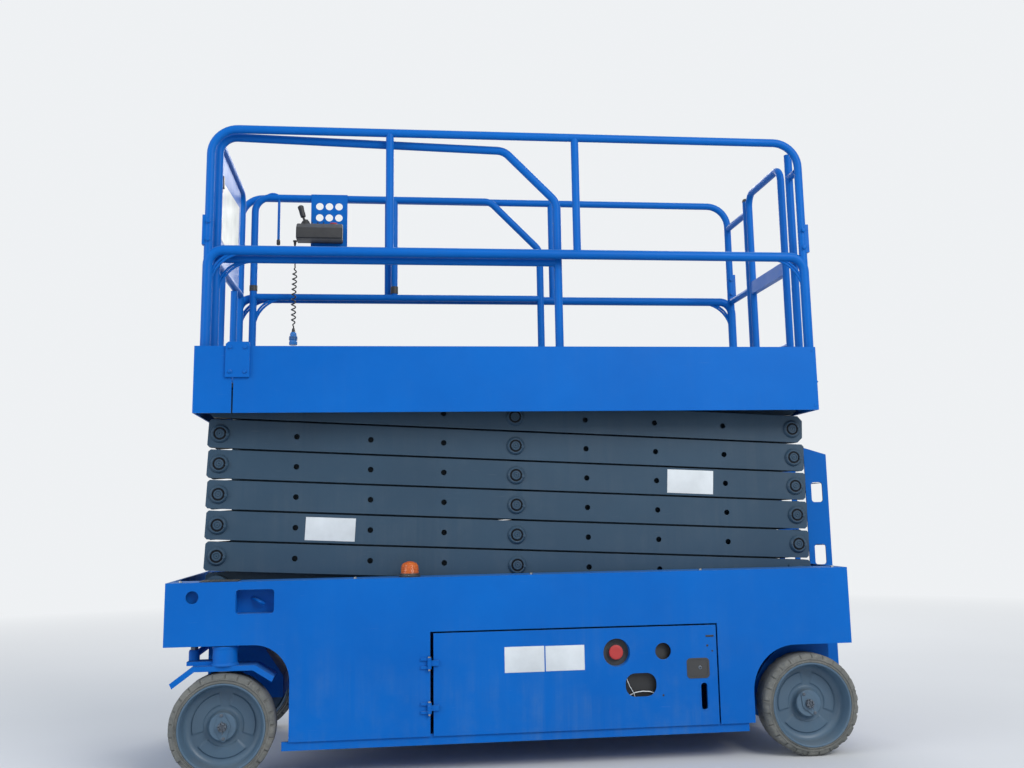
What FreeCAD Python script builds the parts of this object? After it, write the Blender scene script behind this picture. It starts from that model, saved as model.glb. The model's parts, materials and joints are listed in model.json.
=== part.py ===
"""Self-propelled scissor lift: chassis, six-stage arm stack and platform with an extension deck.

Lengths are in millimetres and angles in degrees. The front, with the steered wheels and
the extension deck, is towards -X. The ladder and the gate are towards +X. The floor is z = 0.
"""
import FreeCAD, Part
import math
import os

import Sketcher
from FreeCAD import Placement, Rotation, Vector

SIZES = [
    # alias, value, meaning
    ("tyre_radius", 190.5, "outside radius of a tyre"),
    ("tyre_width", 127, "width of a tyre"),
    ("tyre_shoulder", 12, "rounding between tread and side"),
    ("track_half", 533.5, "wheel centre plane from the middle of the machine"),
    ("front_axle_inset", 216, "front axle behind the front end of the chassis"),
    ("rear_axle_inset", 180, "rear axle ahead of the rear end of the chassis"),
    ("rim_radius", 156, "rim radius, which the tyre seats on"),
    ("rim_wall", 7, "thickness of the rim's barrel and disc"),
    ("rim_dish", 74, "depth of the dish"),
    ("hub_radius", 50, "boss in the middle of the rim"),
    ("hub_height", 34, "how far the boss stands out of the dish"),
    ("stub_radius", 22, "stub axle"),
    ("motor_radius", 92, "drive motor behind the disc"),
    ("bore_gap", 0.05, "running clearance round a pin"),
    ("seat_gap", 0.3, "clearance between pieces that seat on each other"),
    ("chassis_half", 1308, "half the chassis length"),
    ("chassis_side", 580, "outer face of the chassis side"),
    ("chassis_top", 705, "top of the chassis"),
    ("chassis_low", 131, "bottom edge of the chassis"),
    ("plate", 8, "thickness of the body plates"),
    ("rib_gap", 2, "play behind thin leaves and motors"),
    ("front_overhang", 477, "underside of the chassis ahead of the front wheels"),
    ("rear_overhang", 415, "underside of the chassis behind the rear wheels"),
    ("front_arch_reach", 237.5, "rear edge of the front wheel arch behind the axle"),
    ("front_arch_bend", 134.5, "bend radius of the front wheel arch"),
    ("rear_arch_reach", 225, "front edge of the rear wheel arch ahead of the axle"),
    ("rear_arch_bend", 172, "bend radius of the rear wheel arch"),
    ("axle_box_half", 93, "half the length of the front axle box under the chassis"),
    ("axle_box_lean", 100, "how far the axle boxes lean towards the middle"),
    ("axle_box_wide", 300, "half the width of the front axle box"),
    ("axle_box_low", 250, "underside of the front axle box"),
    ("axle_box_rise", 80, "height of the sloping ends of the axle boxes"),
    ("rear_box_wide", 430, "half the width of the rear axle box"),
    ("rear_box_low", 110, "underside of the rear axle box"),
    ("rear_box_reach", 128, "rear axle box ahead of the axle"),
    ("channel_half", 436, "half the width of the channel that the arms lie in"),
    ("channel_floor", 598, "floor of the channel"),
    ("bay_depth", 260, "inner wall of the side bays from the middle"),
    ("block_clear", 30, "clearance round the blocks in the side bays"),
    ("battery_length", 1000, "length of the batteries"),
    ("unit_length", 800, "length of the power unit"),
    ("door_front", 327.6, "front edge of the doors"),
    ("door_rear", 761, "rear edge of the doors"),
    ("door_top", 499, "top edge of the doors"),
    ("door_gap", 12, "gap at the hinged edge"),
    ("door_slit", 6, "gap along the other edges"),
    ("door_plate", 6, "thickness of a door"),
    ("door_flange", 30, "depth of a door's folded edge"),
    ("hinge_out", 9, "door hinge pins outside the chassis side"),
    ("hinge_radius", 8, "door hinge barrel"),
    ("hinge_tall", 40, "door hinge height"),
    ("hinge_low", 232, "centre of the lower door hinge"),
    ("hinge_high", 392, "centre of the upper door hinge"),
    ("leaf_length", 36, "fixed hinge leaves"),
    ("leaf_reach", 20, "hinge leaves on the doors"),
    ("stop_hole_x", 369, "hole over the stop button behind the chassis centre"),
    ("door_hole_level", 407, "height of the round holes in the near door"),
    ("stop_hole_radius", 52, "hole over the stop button"),
    ("plug_hole_x", 550, "small round hole behind the chassis centre"),
    ("plug_hole_radius", 31, "small round hole"),
    ("window_x", 460, "middle of the rounded window"),
    ("window_level", 286, "height of the rounded window"),
    ("window_half", 60, "half the width of the rounded window"),
    ("window_rise", 43, "half the height of the rounded window"),
    ("window_bend", 38, "corners of the rounded window"),
    ("latch_x", 685, "middle of the latch pocket"),
    ("latch_level", 340, "height of the latch pocket"),
    ("latch_half", 40, "half the width of the latch pocket"),
    ("latch_rise", 33, "half the height of the latch pocket"),
    ("latch_bend", 12, "corners of the latch pocket and of the slots"),
    ("slot_x", 706, "middle of the upright slot under the latch"),
    ("slot_level", 236, "height of the upright slot"),
    ("slot_half", 13, "half the width of a slot"),
    ("slot_rise", 50, "half the height of the upright slot"),
    ("beacon_x", 414, "beacon ahead of the chassis centre"),
    ("beacon_y", 508, "beacon from the middle"),
    ("beacon_radius", 41, "beacon dome"),
    ("beacon_tall", 58, "beacon height"),
    ("lash_inset", 97, "lashing holes behind the front end of the chassis"),
    ("lash_level", 652, "height of the lashing holes"),
    ("lash_radius", 23, "lashing holes"),
    ("pocket_inset", 323, "middle of the tie-down pocket behind the front end of the chassis"),
    ("pocket_drop", 73, "middle of the tie-down pocket under the chassis top"),
    ("pocket_half", 70, "half the length of the pocket"),
    ("pocket_rise", 44, "half the height of the pocket"),
    ("pocket_bend", 14, "corners of the pocket"),
    ("guard_low", 100, "underside of the pothole guards"),
    ("guard_reach", 212, "pothole guards end this far towards the middle from the front axle"),
    ("guard_inset", 8, "pothole guards inside the chassis side"),
    ("guard_thick", 16, "thickness of a pothole guard"),
    ("kingpin_radius", 20, "kingpin"),
    ("sleeve_radius", 45, "kingpin sleeve"),
    ("yoke_low", 387, "underside of the yoke above a steered wheel"),
    ("yoke_plate", 18, "thickness of the yoke and its leg"),
    ("yoke_front", 182, "lower tip of the yoke ahead of the kingpin"),
    ("yoke_rear", 173, "lower tip of the yoke behind the kingpin"),
    ("yoke_flat", 104, "flat length of the yoke each way from the kingpin"),
    ("yoke_fall_front", 57, "drop of the yoke in front"),
    ("yoke_fall_rear", 43, "drop of the yoke behind"),
    ("yoke_out", 40, "yoke outboard of the kingpin"),
    ("leg_gap", 8, "yoke leg inside the tyre"),
    ("leg_half", 60, "half the length of the yoke leg"),
    ("leg_drop", 70, "yoke leg below the axle"),
    ("sleeve_gap", 3, "top of the kingpin sleeve under the chassis"),
    ("bore_ends", 5, "how far the kingpin bore is cut past the yoke"),
    ("steer_arm", 120, "steering pin ahead of the kingpin"),
    ("steer_inset", 60, "steering pin inboard of the kingpin"),
    ("steer_eye", 18, "end of the steering arm round its pin"),
    ("steer_plate", 14, "thickness of the steering arms"),
    ("tie_radius", 12, "tie bar"),
    ("tie_eye", 16, "half the height of the tie bar's eyes"),
    ("tie_cup", 4, "wall of the tie bar eyes"),
    ("arm_low", 677, "lowest pins of the arm stack"),
    ("pin_rise", 117.5, "rise from one stage to the next when lowered"),
    ("rear_pin_inset", 135.5, "rear pins ahead of the rear end of the chassis"),
    ("front_pin_inset", 159, "front pins behind the front end of the chassis when lowered"),
    ("arm_tall", 110, "height of an arm's section"),
    ("arm_wide", 48, "width of an arm's section"),
    ("arm_wall", 5, "wall of an arm's section"),
    ("arm_end", 46, "arm beyond its end pins"),
    ("arm_chamfer", 9, "cut-off corners at an arm's ends"),
    ("top_chamfer", 20, "the same on the top stage, which turns close under the platform floor"),
    ("arm_hole", 11, "small holes in the outer faces of the outer arms"),
    ("arm_hole_pitch", 289, "spacing of the small holes"),
    ("outer_arm", 372, "inner face of the outer arms"),
    ("arm_slot", 10, "gap between inner and outer arms"),
    ("pin_radius", 25, "pins and cross shafts"),
    ("cap_radius", 33, "pin caps and spacers"),
    ("cap_thick", 7, "pin caps"),
    ("roller_radius", 45, "rollers at the sliding ends"),
    ("lug_half", 45, "half the length of a pin lug"),
    ("lug_rise", 38, "pin lugs beyond their pins"),
    ("lug_thin", 5, "thickness of the pin lugs"),
    ("lug_side", 8, "outer faces of the pin lugs beside an arm"),
    ("lug_gap", 3, "clearance beside an arm in its lug"),
    ("track_lead", 60, "tracks ahead of the front pins"),
    ("brace_radius", 30, "cross tubes between the inner arms"),
    ("brace_front", 675, "front cross tube from the middle of its arm"),
    ("cylinder_foot", 475, "lift cylinder's pins from the middle of their arms"),
    ("barrel_radius", 45, "lift cylinder barrel"),
    ("barrel_length", 640, "lift cylinder barrel from its foot pin"),
    ("rod_radius", 25, "lift cylinder rod"),
    ("rod_start", 250, "inner end of the rod from the foot pin"),
    ("eye_radius", 40, "eyes of the lift cylinder"),
    ("eye_half", 36, "half the width of an eye"),
    ("eye_play", 6, "gap between an eye and its lugs"),
    ("eye_step", 5, "a rod eye is smaller by this"),
    ("barrel_neck", 20, "barrel starts this far from its foot pin"),
    ("rod_cover", 40, "barrel bore beyond the end of the rod"),
    ("lug_deep", 34, "half the height of the cylinder lugs"),
    ("lug_tip", 36, "cylinder lugs beyond the rod pin"),
    ("lug_plate", 12, "plates that carry a cylinder's rod pin"),
    ("track_end", 150, "rear end of the roller tracks from the chassis centre"),
    ("deck_low", 1332, "bottom edge of the platform sides"),
    ("deck_floor", 1450, "top of the platform floor"),
    ("deck_side", 560, "outer face of the platform sides"),
    ("deck_front", 1087, "front edge of the platform sides"),
    ("deck_rear", 1242, "rear end of the platform"),
    ("toe_top", 1590, "top of the toe boards"),
    ("deck_plate", 5, "platform floor plate"),
    ("deck_inset", 12, "floor edges inside the platform sides"),
    ("deck_lip", 5, "floor beyond the platform sides"),
    ("deck_nose", 15, "floor ahead of the front posts"),
    ("nose_plate", 6, "thickness of the extension deck front"),
    ("nose_front", 1236, "front face of the extension deck"),
    ("nose_rear", 1093, "rear edge of the extension deck's side returns"),
    ("extension_rear", 60, "rear edge of the extension deck, ahead of the chassis centre"),
    ("extension_half", 470, "half the width of the extension deck"),
    ("post_radius", 20, "lower rails and posts"),
    ("rail_radius", 17, "upper rails and posts"),
    ("rail_bend", 105, "bend of the rails' corners"),
    ("main_rail", 500, "main rails from the middle"),
    ("main_front", 1205, "front posts of the main rails"),
    ("main_rear", 1238, "rear posts of the main rails"),
    ("mid_rail", 1981, "height of the middle rails"),
    ("top_rail", 2482, "height of the top rails"),
    ("upper_post_front", 495, "front upper post ahead of the chassis centre"),
    ("post_bend", 60, "bend of the lower rails and of the gate"),
    ("rail_foot", 75, "upper frame tucked below the middle rail"),
    ("tab_out", 24, "fold tabs beyond the middle of the end posts"),
    ("tab_half", 15, "half the width of a fold tab"),
    ("tab_low", 20, "fold tabs above the middle rail"),
    ("tab_high", 140, "top of the fold tabs above the middle rail"),
    ("upper_post_rear", 271, "near rear upper post behind the chassis centre"),
    ("far_post_rear", 320, "far rear upper post behind the chassis centre"),
    ("slide_rail", 450, "extension rails from the middle"),
    ("slide_front", 1180, "near front post of the extension rails"),
    ("slide_front_far", 1133, "far front post of the extension rails"),
    ("slide_lift", 32, "rise of the near top rail of the extension to its front"),
    ("hoop_front", 1190, "front hoop of the extension"),
    ("hoop_side", 413, "posts of the front hoop from the middle"),
    ("slide_mid", 1957, "near middle rail of the extension"),
    ("slide_mid_far", 1981, "far middle rail of the extension"),
    ("slide_drop_near", 48, "near top rail of the extension below the main one"),
    ("slide_drop_far", 10, "far top rail of the extension below the main one"),
    ("slide_post_far", 464, "far upper post of the extension ahead of the chassis centre"),
    ("slide_bend", 70, "bend of the extension rails"),
    ("sign_plate", 4, "thickness of the plate on the front hoop"),
    ("sign_edge", 330, "far edge of that plate from the middle"),
    ("front_post", 200, "short front posts from the middle"),
    ("slide_rear", 197, "near rear post of the extension rails"),
    ("slide_knee", 218, "drop of the near top rail at its sloping end"),
    ("slide_rear_far", 252, "far rear post of the extension rails"),
    ("slide_knee_far", 245, "drop of the far top rail at its sloping end"),
    ("gate_near", 290, "near edge of the gate from the middle"),
    ("gate_far", 150, "far edge of the gate from the middle"),
    ("gate_low", 1620, "height of the gate's bottom rail"),
    ("gate_drop", 42, "top of the gate below the top rail"),
    ("gate_play", 6, "clearance round the gate"),
    ("gate_band", 29, "half the height of the flat bar across the gate"),
    ("gate_band_thick", 13, "half the thickness of that bar"),
    ("seat_half", 14, "half the width of the seats under the gate"),
    ("rear_post_drop", 60, "top of the post at the gate's far side below the top rail"),
    ("rear_near_drop", 17, "top of the near post beside the gate below the top rail"),
    ("rear_near_gap", 60, "near post beyond its place right beside the gate"),
    ("rear_rail_drop", 120, "short rear rails below the top rail"),
    ("gate_radius", 16, "gate tube"),
    ("ladder_half", 190, "ladder's side plates from the middle"),
    ("ladder_deep", 100, "depth of the ladder"),
    ("ladder_plate", 6, "thickness of the ladder's plates"),
    ("ladder_top", 1200, "top of the ladder"),
    ("ladder_slope", 30, "fall of the side plates at their top"),
    ("ladder_bend", 12, "corners of the slots in the side plates"),
    ("ladder_slot", 25, "half the width of those slots"),
    ("ladder_slot_low", 95, "slots start this far under a step"),
    ("ladder_slot_high", 10, "slots end this far under a step"),
    ("ladder_low", 225, "bottom of the ladder"),
    ("step_pitch", 265, "spacing of the steps"),
    ("step_low", 265, "lowest step"),
    ("step_tall", 30, "depth of a step's folded edge"),
    ("bracket_x", 779, "middle of the control bracket ahead of the chassis centre"),
    ("bracket_half", 87, "half the length of the control bracket"),
    ("bracket_plate", 4, "thickness of the control bracket"),
    ("bracket_above", 15, "bracket above the far top rail of the extension"),
    ("bracket_drop", 257, "bracket below that rail"),
    ("bracket_hole", 18, "round holes in the bracket"),
    ("bracket_pitch", 46, "spacing of the round holes"),
    ("bracket_row", 45, "upper row of holes below the rail"),
    ("bracket_next", 56, "lower row of holes below the upper one"),
    ("box_x", 831, "middle of the control box ahead of the chassis centre"),
    ("box_half", 120, "half the length of the control box"),
    ("box_deep", 110, "depth of the control box"),
    ("box_top", 146, "top of the control box below the rail"),
    ("box_low", 232, "underside of the control box below the rail"),
    ("stick_x", 920, "joystick ahead of the chassis centre"),
    ("stick_radius", 14, "joystick"),
    ("stick_tall", 100, "height of the joystick"),
    ("curl_x", 936, "curly cord ahead of the chassis centre"),
    ("curl_radius", 13, "outside of the curly cord"),
    ("curl_low", 1798, "lower end of the curly cord"),
    ("connector_radius", 20, "connector at the end of the curly cord"),
    ("connector_tall", 62, "length of that connector"),
]

doc = FreeCAD.newDocument("ScissorLift")
sheet = doc.addObject("Spreadsheet::Sheet", "Sizes")
for row, (alias, value, meaning) in enumerate(SIZES, start=1):
    sheet.set(f"A{row}", meaning)
    sheet.set(f"B{row}", str(value))
    sheet.setAlias(f"B{row}", alias)
doc.recompute()


class Size:
    """A number that remembers the sheet formula it comes from."""

    def __init__(self, value, text):
        self.value = value
        self.text = text

    def __add__(self, other):
        other = as_size(other)
        return Size(self.value + other.value, f"({self.text} + {other.text})")

    def __sub__(self, other):
        other = as_size(other)
        return Size(self.value - other.value, f"({self.text} - {other.text})")

    def __mul__(self, other):
        other = as_size(other)
        return Size(self.value * other.value, f"({self.text} * {other.text})")

    def __truediv__(self, other):
        other = as_size(other)
        return Size(self.value / other.value, f"({self.text} / {other.text})")

    def __neg__(self):
        return Size(-self.value, f"(0 - {self.text})")

    def __radd__(self, other):
        return as_size(other) + self

    def __rsub__(self, other):
        return as_size(other) - self

    def __rmul__(self, other):
        return as_size(other) * self


def as_size(number):
    return number if isinstance(number, Size) else Size(float(number), f"{float(number):.6f}")


def root(square):
    return Size(math.sqrt(square.value), f"sqrt({square.text})")


def slope(rise, run):
    ratio = rise / run
    return Size(math.degrees(math.atan(ratio.value)), f"atan({ratio.text})")


def sine(angle):
    return Size(math.sin(math.radians(angle.value)), f"sin({angle.text})")


def cosine(angle):
    return Size(math.cos(math.radians(angle.value)), f"cos({angle.text})")


class Sizes:
    """The sheet's cells by name."""


s = Sizes()
for alias, value, meaning in SIZES:
    setattr(s, alias, Size(float(value), f"Sizes.{alias}"))

NEAR, FAR = -1, 1
front_axle = s.chassis_half - s.front_axle_inset
rear_axle = s.chassis_half - s.rear_axle_inset
front_arch = front_axle - s.front_arch_reach
rear_arch = rear_axle - s.rear_arch_reach
hinge_line = s.chassis_side + s.hinge_out
rear_pin = s.chassis_half - s.rear_pin_inset
front_pin = s.front_pin_inset - s.chassis_half
pin_span = rear_pin - front_pin
ladder_face = s.chassis_half + s.seat_gap
row_shift = -(ladder_face + s.ladder_deep - s.chassis_half) / 2
stow_angle = slope(s.pin_rise, pin_span)
arm_length = root(pin_span * pin_span + s.pin_rise * s.pin_rise)
middle_pin = rear_pin - pin_span / 2
inner_arm = s.outer_arm - s.arm_slot - s.arm_wide
outer_face = s.outer_arm + s.arm_wide
slide_top_near = s.top_rail - s.slide_drop_near
slide_top_far = s.top_rail - s.slide_drop_far
STAGES = 6
STEPS = 4


def bind(obj, **values):
    """Tie properties to formulas of the sheet; a double underscore stands for a dot."""
    for name, value in values.items():
        obj.setExpression(name.replace("__", "."), as_size(value).text)


def place(obj, x=0, y=0, z=0, axis=None, angle=0):
    x, y, z, angle = [as_size(number) for number in (x, y, z, angle)]
    turn = Rotation(Vector(*axis), angle.value) if axis else obj.Placement.Rotation
    obj.Placement = Placement(Vector(x.value, y.value, z.value), turn)
    bind(obj, Placement__Base__x=x, Placement__Base__y=y, Placement__Base__z=z)
    if axis and "Sizes" in angle.text:
        bind(obj, Placement__Rotation__Angle=angle)
    return obj


def box(x, y, z):
    """A block between the low and high value of each axis."""
    block = doc.addObject("Part::Box", "Block")
    low = [as_size(pair[0]) for pair in (x, y, z)]
    high = [as_size(pair[1]) for pair in (x, y, z)]
    bind(block, Length=high[0] - low[0], Width=high[1] - low[1], Height=high[2] - low[2])
    return place(block, *low)


def sides(side, low, high):
    """The y range between two distances from the middle, on the near or the far side."""
    return (side * high, side * low) if side == NEAR else (side * low, side * high)


AXIS_TURN = {"X": ((0, 1, 0), 90), "Y": ((-1, 0, 0), 90), "Z": ((0, 0, 1), 0)}


def rod(axis, span, radius, x=0, y=0, z=0):
    """A round bar along an axis, over a span of that axis."""
    bar = doc.addObject("Part::Cylinder", "Bar")
    low, high = as_size(span[0]), as_size(span[1])
    bind(bar, Radius=radius, Height=high - low)
    start = {"X": (low, y, z), "Y": (x, low, z), "Z": (x, y, low)}[axis]
    return place(bar, *start, *AXIS_TURN[axis])


def fuse(*solids):
    joined = doc.addObject("Part::MultiFuse", "Joined")
    joined.Shapes = list(solids)
    joined.Refine = True
    return joined


def cut(solid, *tools):
    result = doc.addObject("Part::Cut", "Cut")
    result.Base = solid
    result.Tool = tools[0] if len(tools) == 1 else fuse(*tools)
    return result


def group(*solids):
    """Like pieces on one body that don't touch."""
    set_of = doc.addObject("Part::Compound", "Set")
    set_of.Links = list(solids)
    return set_of


def slot_outline(u, v, half, rise, bend):
    """A rounded rectangle about a centre."""
    return [(u - half, v - rise, bend), (u + half, v - rise, bend),
            (u + half, v + rise, bend), (u - half, v + rise, bend)]


def pin_point(sketch, shape, point, u, v):
    for kind, value in (("DistanceX", u), ("DistanceY", v)):
        index = sketch.addConstraint(Sketcher.Constraint(kind, -1, 1, shape, point, value.value))
        sketch.setExpression(f"Constraints[{index}]", value.text)


def set_radius(sketch, shape, radius):
    index = sketch.addConstraint(Sketcher.Constraint("Radius", shape, radius.value))
    sketch.setExpression(f"Constraints[{index}]", radius.text)


def direction(start, end):
    """Unit steps from one corner to the next along the sketch's axes."""
    du, dv = end[0].value - start[0].value, end[1].value - start[1].value
    length = math.hypot(du, dv)
    return du / length, dv / length


def draw_circle(sketch, u, v, radius):
    u, v, radius = as_size(u), as_size(v), as_size(radius)
    circle = Part.Circle(Vector(u.value, v.value), Vector(0, 0, 1), radius.value)
    shape = sketch.addGeometry(circle)
    pin_point(sketch, shape, 3, u, v)
    set_radius(sketch, shape, radius)


def draw_outline(sketch, corners):
    """A closed outline; a third value rounds a square corner by that radius."""
    corners = [[as_size(number) for number in corner] for corner in corners]
    steps = []
    for index, corner in enumerate(corners):
        if len(corner) == 2:
            steps.append((corner, None))
            continue
        u, v, radius = corner
        back = direction(corner, corners[index - 1])
        ahead = direction(corner, corners[(index + 1) % len(corners)])
        start = (u + radius * back[0], v + radius * back[1])
        end = (u + radius * ahead[0], v + radius * ahead[1])
        turn = back[1] * ahead[0] - back[0] * ahead[1]
        centre = (start[0] + radius * ahead[0], start[1] + radius * ahead[1])
        steps.append((start, (centre, radius, turn)))
        steps.append((end, None))
    shapes = []
    for index, (start, arc) in enumerate(steps):
        end = steps[(index + 1) % len(steps)][0]
        first, last = [Vector(point[0].value, point[1].value) for point in (start, end)]
        if arc is None:
            shape = sketch.addGeometry(Part.LineSegment(first, last))
            shapes.append((shape, 1, 2))
        else:
            centre, radius, turn = arc
            middle = Vector(centre[0].value, centre[1].value)
            circle = Part.Circle(middle, Vector(0, 0, 1), radius.value)
            angles = [math.atan2(point.y - middle.y, point.x - middle.x) for point in (first, last)]
            if turn < 0:
                angles.reverse()
            shape = sketch.addGeometry(Part.ArcOfCircle(circle, *angles))
            shapes.append((shape, 1, 2) if turn > 0 else (shape, 2, 1))
            set_radius(sketch, shape, radius)
        pin_point(sketch, shape, shapes[-1][1], *start)
    for index, (shape, first, last) in enumerate(shapes):
        following, start, end = shapes[(index + 1) % len(shapes)]
        sketch.addConstraint(Sketcher.Constraint("Coincident", shape, last, following, start))


def new_sketch(body, plane, offset):
    sketch = body.newObject("Sketcher::SketchObject", "Outline")
    origin = [item for item in body.Origin.OriginFeatures if item.Role == plane + "_Plane"]
    sketch.AttachmentSupport = (origin[0], "")
    sketch.MapMode = "FlatFace"
    bind(sketch, AttachmentOffset__Base__z=offset)
    return sketch


def pad(plane, offset, length, outline, *holes):
    """A plate from an outline; each hole is a circle (u, v, radius) or another outline."""
    body = doc.addObject("PartDesign::Body", "Plate")
    sketch = new_sketch(body, plane, offset)
    draw_outline(sketch, outline)
    for hole in holes:
        if isinstance(hole, tuple):
            draw_circle(sketch, *hole)
        else:
            draw_outline(sketch, hole)
    feature = body.newObject("PartDesign::Pad", "Pad")
    feature.Profile = sketch
    bind(feature, Length=length)
    return body


def revolved(outline):
    """A round piece about the Y axis from a half section of (y, radius) corners."""
    body = doc.addObject("PartDesign::Body", "Round")
    sketch = new_sketch(body, "YZ", 0)
    draw_outline(sketch, outline)
    feature = body.newObject("PartDesign::Revolution", "Revolution")
    feature.Profile = sketch
    feature.ReferenceAxis = (sketch, ["H_Axis"])
    feature.Angle = 360
    return body


def bent_tube(points, radius, bend=None):
    """A tube along straight runs whose corners are bent; its sizes are read from the sheet."""
    spots = [Vector(*[as_size(number).value for number in point]) for point in points]
    edges = []
    start = spots[0]
    for index in range(1, len(spots) - 1):
        back = (spots[index - 1] - spots[index]).normalize()
        ahead = (spots[index + 1] - spots[index]).normalize()
        half = back.getAngle(ahead) / 2
        reach = as_size(bend).value / math.tan(half)
        middle = spots[index] + (back + ahead).normalize() * (
            as_size(bend).value / math.sin(half) - as_size(bend).value)
        enter, leave = spots[index] + back * reach, spots[index] + ahead * reach
        edges.append(Part.LineSegment(start, enter).toShape())
        edges.append(Part.Arc(enter, middle, leave).toShape())
        start = leave
    edges.append(Part.LineSegment(start, spots[-1]).toShape())
    path = Part.Wire(edges)
    circle = Part.makeCircle(as_size(radius).value, spots[0], spots[1] - spots[0])
    tube = doc.addObject("Part::Feature", "Tube")
    tube.Shape = path.makePipeShell([Part.Wire([circle])], True, False)
    return tube


NODES = {}


def node(name, obj, x=0, y=0, z=0, axis=None, angle=0):
    """Name a sub-part and set it in the row's frame, whose origin is under the middle."""
    obj.Label = name
    NODES[name] = obj
    return place(obj, row_shift + x, y, z, axis, angle)


# Chassis


def side_plate_outline():
    door_left = -s.door_front - s.door_gap
    door_right = s.door_rear + s.door_slit
    door_head = s.door_top + s.door_slit
    return [
        (-s.chassis_half, s.chassis_top), (s.chassis_half, s.chassis_top),
        (s.chassis_half, s.rear_overhang), (rear_arch, s.rear_overhang, s.rear_arch_bend),
        (rear_arch, s.chassis_low), (door_right, s.chassis_low), (door_right, door_head),
        (door_left, door_head), (door_left, s.chassis_low), (-front_arch, s.chassis_low),
        (-front_arch, s.front_overhang, s.front_arch_bend), (-s.chassis_half, s.front_overhang),
    ]


def hinge_leaf(side, edge, spans):
    """Hinge leaves on a side plate or a door, with the barrel pieces over the given spans."""
    pin_x = -s.door_front - s.door_gap - s.hinge_radius / 2
    faces = sides(side, s.chassis_side, hinge_line - s.rib_gap)
    pieces = []
    for level in (s.hinge_low, s.hinge_high):
        low, high = level + spans[0][0], level + spans[-1][1]
        pieces.append(box((pin_x, edge) if edge.value > pin_x.value else (edge, pin_x), faces,
                          (low, high)))
        pieces += [rod("Z", (level + start, level + end), s.hinge_radius, x=pin_x,
                       y=side * hinge_line) for start, end in spans]
    return pieces


def chassis_sides():
    """Side plates with a lashing hole, a tie-down pocket and the fixed hinge leaves."""
    pocket = slot_outline(s.pocket_inset - s.chassis_half, s.chassis_top - s.pocket_drop, s.pocket_half,
                          s.pocket_rise, s.pocket_bend)
    half = s.hinge_tall / 2
    upper, lower = (half / 2 + s.seat_gap, half), (-half, -half / 2 - s.seat_gap)
    plates = []
    for side, offset in ((NEAR, s.chassis_side - s.plate), (FAR, -s.chassis_side)):
        plate = pad("XZ", offset, s.plate, side_plate_outline(),
                    (s.lash_inset - s.chassis_half, s.lash_level, s.lash_radius), pocket)
        fixed = -s.door_front - s.door_gap - s.leaf_length
        leaves = hinge_leaf(side, fixed, [upper]) + hinge_leaf(side, fixed, [lower])
        plates.append(fuse(plate, *leaves))
    node("chassis_sides", group(*plates))


def chassis_pan():
    """The channel that the arms lie in, with the side decks, folded from plate."""
    inside = s.chassis_side - s.plate
    wall = s.channel_half + s.plate
    outline = [
        (-inside, s.chassis_top), (-s.channel_half, s.chassis_top),
        (-s.channel_half, s.channel_floor), (s.channel_half, s.channel_floor),
        (s.channel_half, s.chassis_top), (inside, s.chassis_top),
        (inside, s.chassis_top - s.plate), (wall, s.chassis_top - s.plate),
        (wall, s.channel_floor - s.plate), (-wall, s.channel_floor - s.plate),
        (-wall, s.chassis_top - s.plate), (-inside, s.chassis_top - s.plate),
    ]
    length = 2 * (s.chassis_half - s.plate)
    node("chassis_pan", pad("YZ", -length / 2, length, outline))


def chassis_ends():
    inside = s.chassis_side - s.plate
    front = box((-s.chassis_half, -s.chassis_half + s.plate), (-inside, inside),
                (s.front_overhang, s.chassis_top))
    rear = box((s.chassis_half - s.plate, s.chassis_half), (-inside, inside),
               (s.rear_overhang, s.chassis_top))
    node("chassis_ends", group(front, rear))


def chassis_belly():
    """The folded plate under the overhangs, round the arches and under the bays."""
    inside = s.chassis_side - s.plate
    end = s.chassis_half - s.plate
    outline = [
        (-end, s.front_overhang), (-front_arch, s.front_overhang, s.front_arch_bend),
        (-front_arch, s.chassis_low), (rear_arch, s.chassis_low),
        (rear_arch, s.rear_overhang, s.rear_arch_bend), (end, s.rear_overhang),
        (end, s.rear_overhang + s.plate),
        (rear_arch - s.plate, s.rear_overhang + s.plate, s.rear_arch_bend + s.plate),
        (rear_arch - s.plate, s.chassis_low + s.plate),
        (-front_arch + s.plate, s.chassis_low + s.plate),
        (-front_arch + s.plate, s.front_overhang + s.plate, s.front_arch_bend + s.plate),
        (-end, s.front_overhang + s.plate),
    ]
    node("chassis_belly", pad("XZ", -inside, 2 * inside, outline))


def bay_walls():
    walls = [box((-front_arch + s.plate, rear_arch - s.plate),
                 sides(side, s.bay_depth, s.bay_depth + s.plate),
                 (s.chassis_low + s.plate, s.channel_floor - s.plate)) for side in (NEAR, FAR)]
    node("bay_walls", group(*walls))


def axle_boxes():
    lead = -front_axle - s.axle_box_half
    back = -front_axle + s.axle_box_half
    front = pad("XZ", -s.axle_box_wide, 2 * s.axle_box_wide, [
        (lead, s.front_overhang), (back, s.front_overhang),
        (back + s.axle_box_lean, s.axle_box_low + s.axle_box_rise),
        (back + s.axle_box_lean, s.axle_box_low),
        (lead + s.axle_box_lean, s.axle_box_low), (lead, s.axle_box_low + s.axle_box_rise)])
    end = s.chassis_half - s.plate - s.block_clear
    start = rear_axle - s.rear_box_reach
    top = rear_arch + s.rear_arch_bend + s.deck_inset
    rear = pad("XZ", -s.rear_box_wide, 2 * s.rear_box_wide, [
        (top, s.rear_overhang), (end, s.rear_overhang), (end, s.axle_box_low),
        (end - s.axle_box_rise, s.rear_box_low), (start, s.rear_box_low),
        (start - s.axle_box_rise, s.rear_box_low + s.axle_box_lean),
        (start, s.axle_box_low + s.axle_box_rise)])
    node("axle_boxes", group(front, rear))


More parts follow.
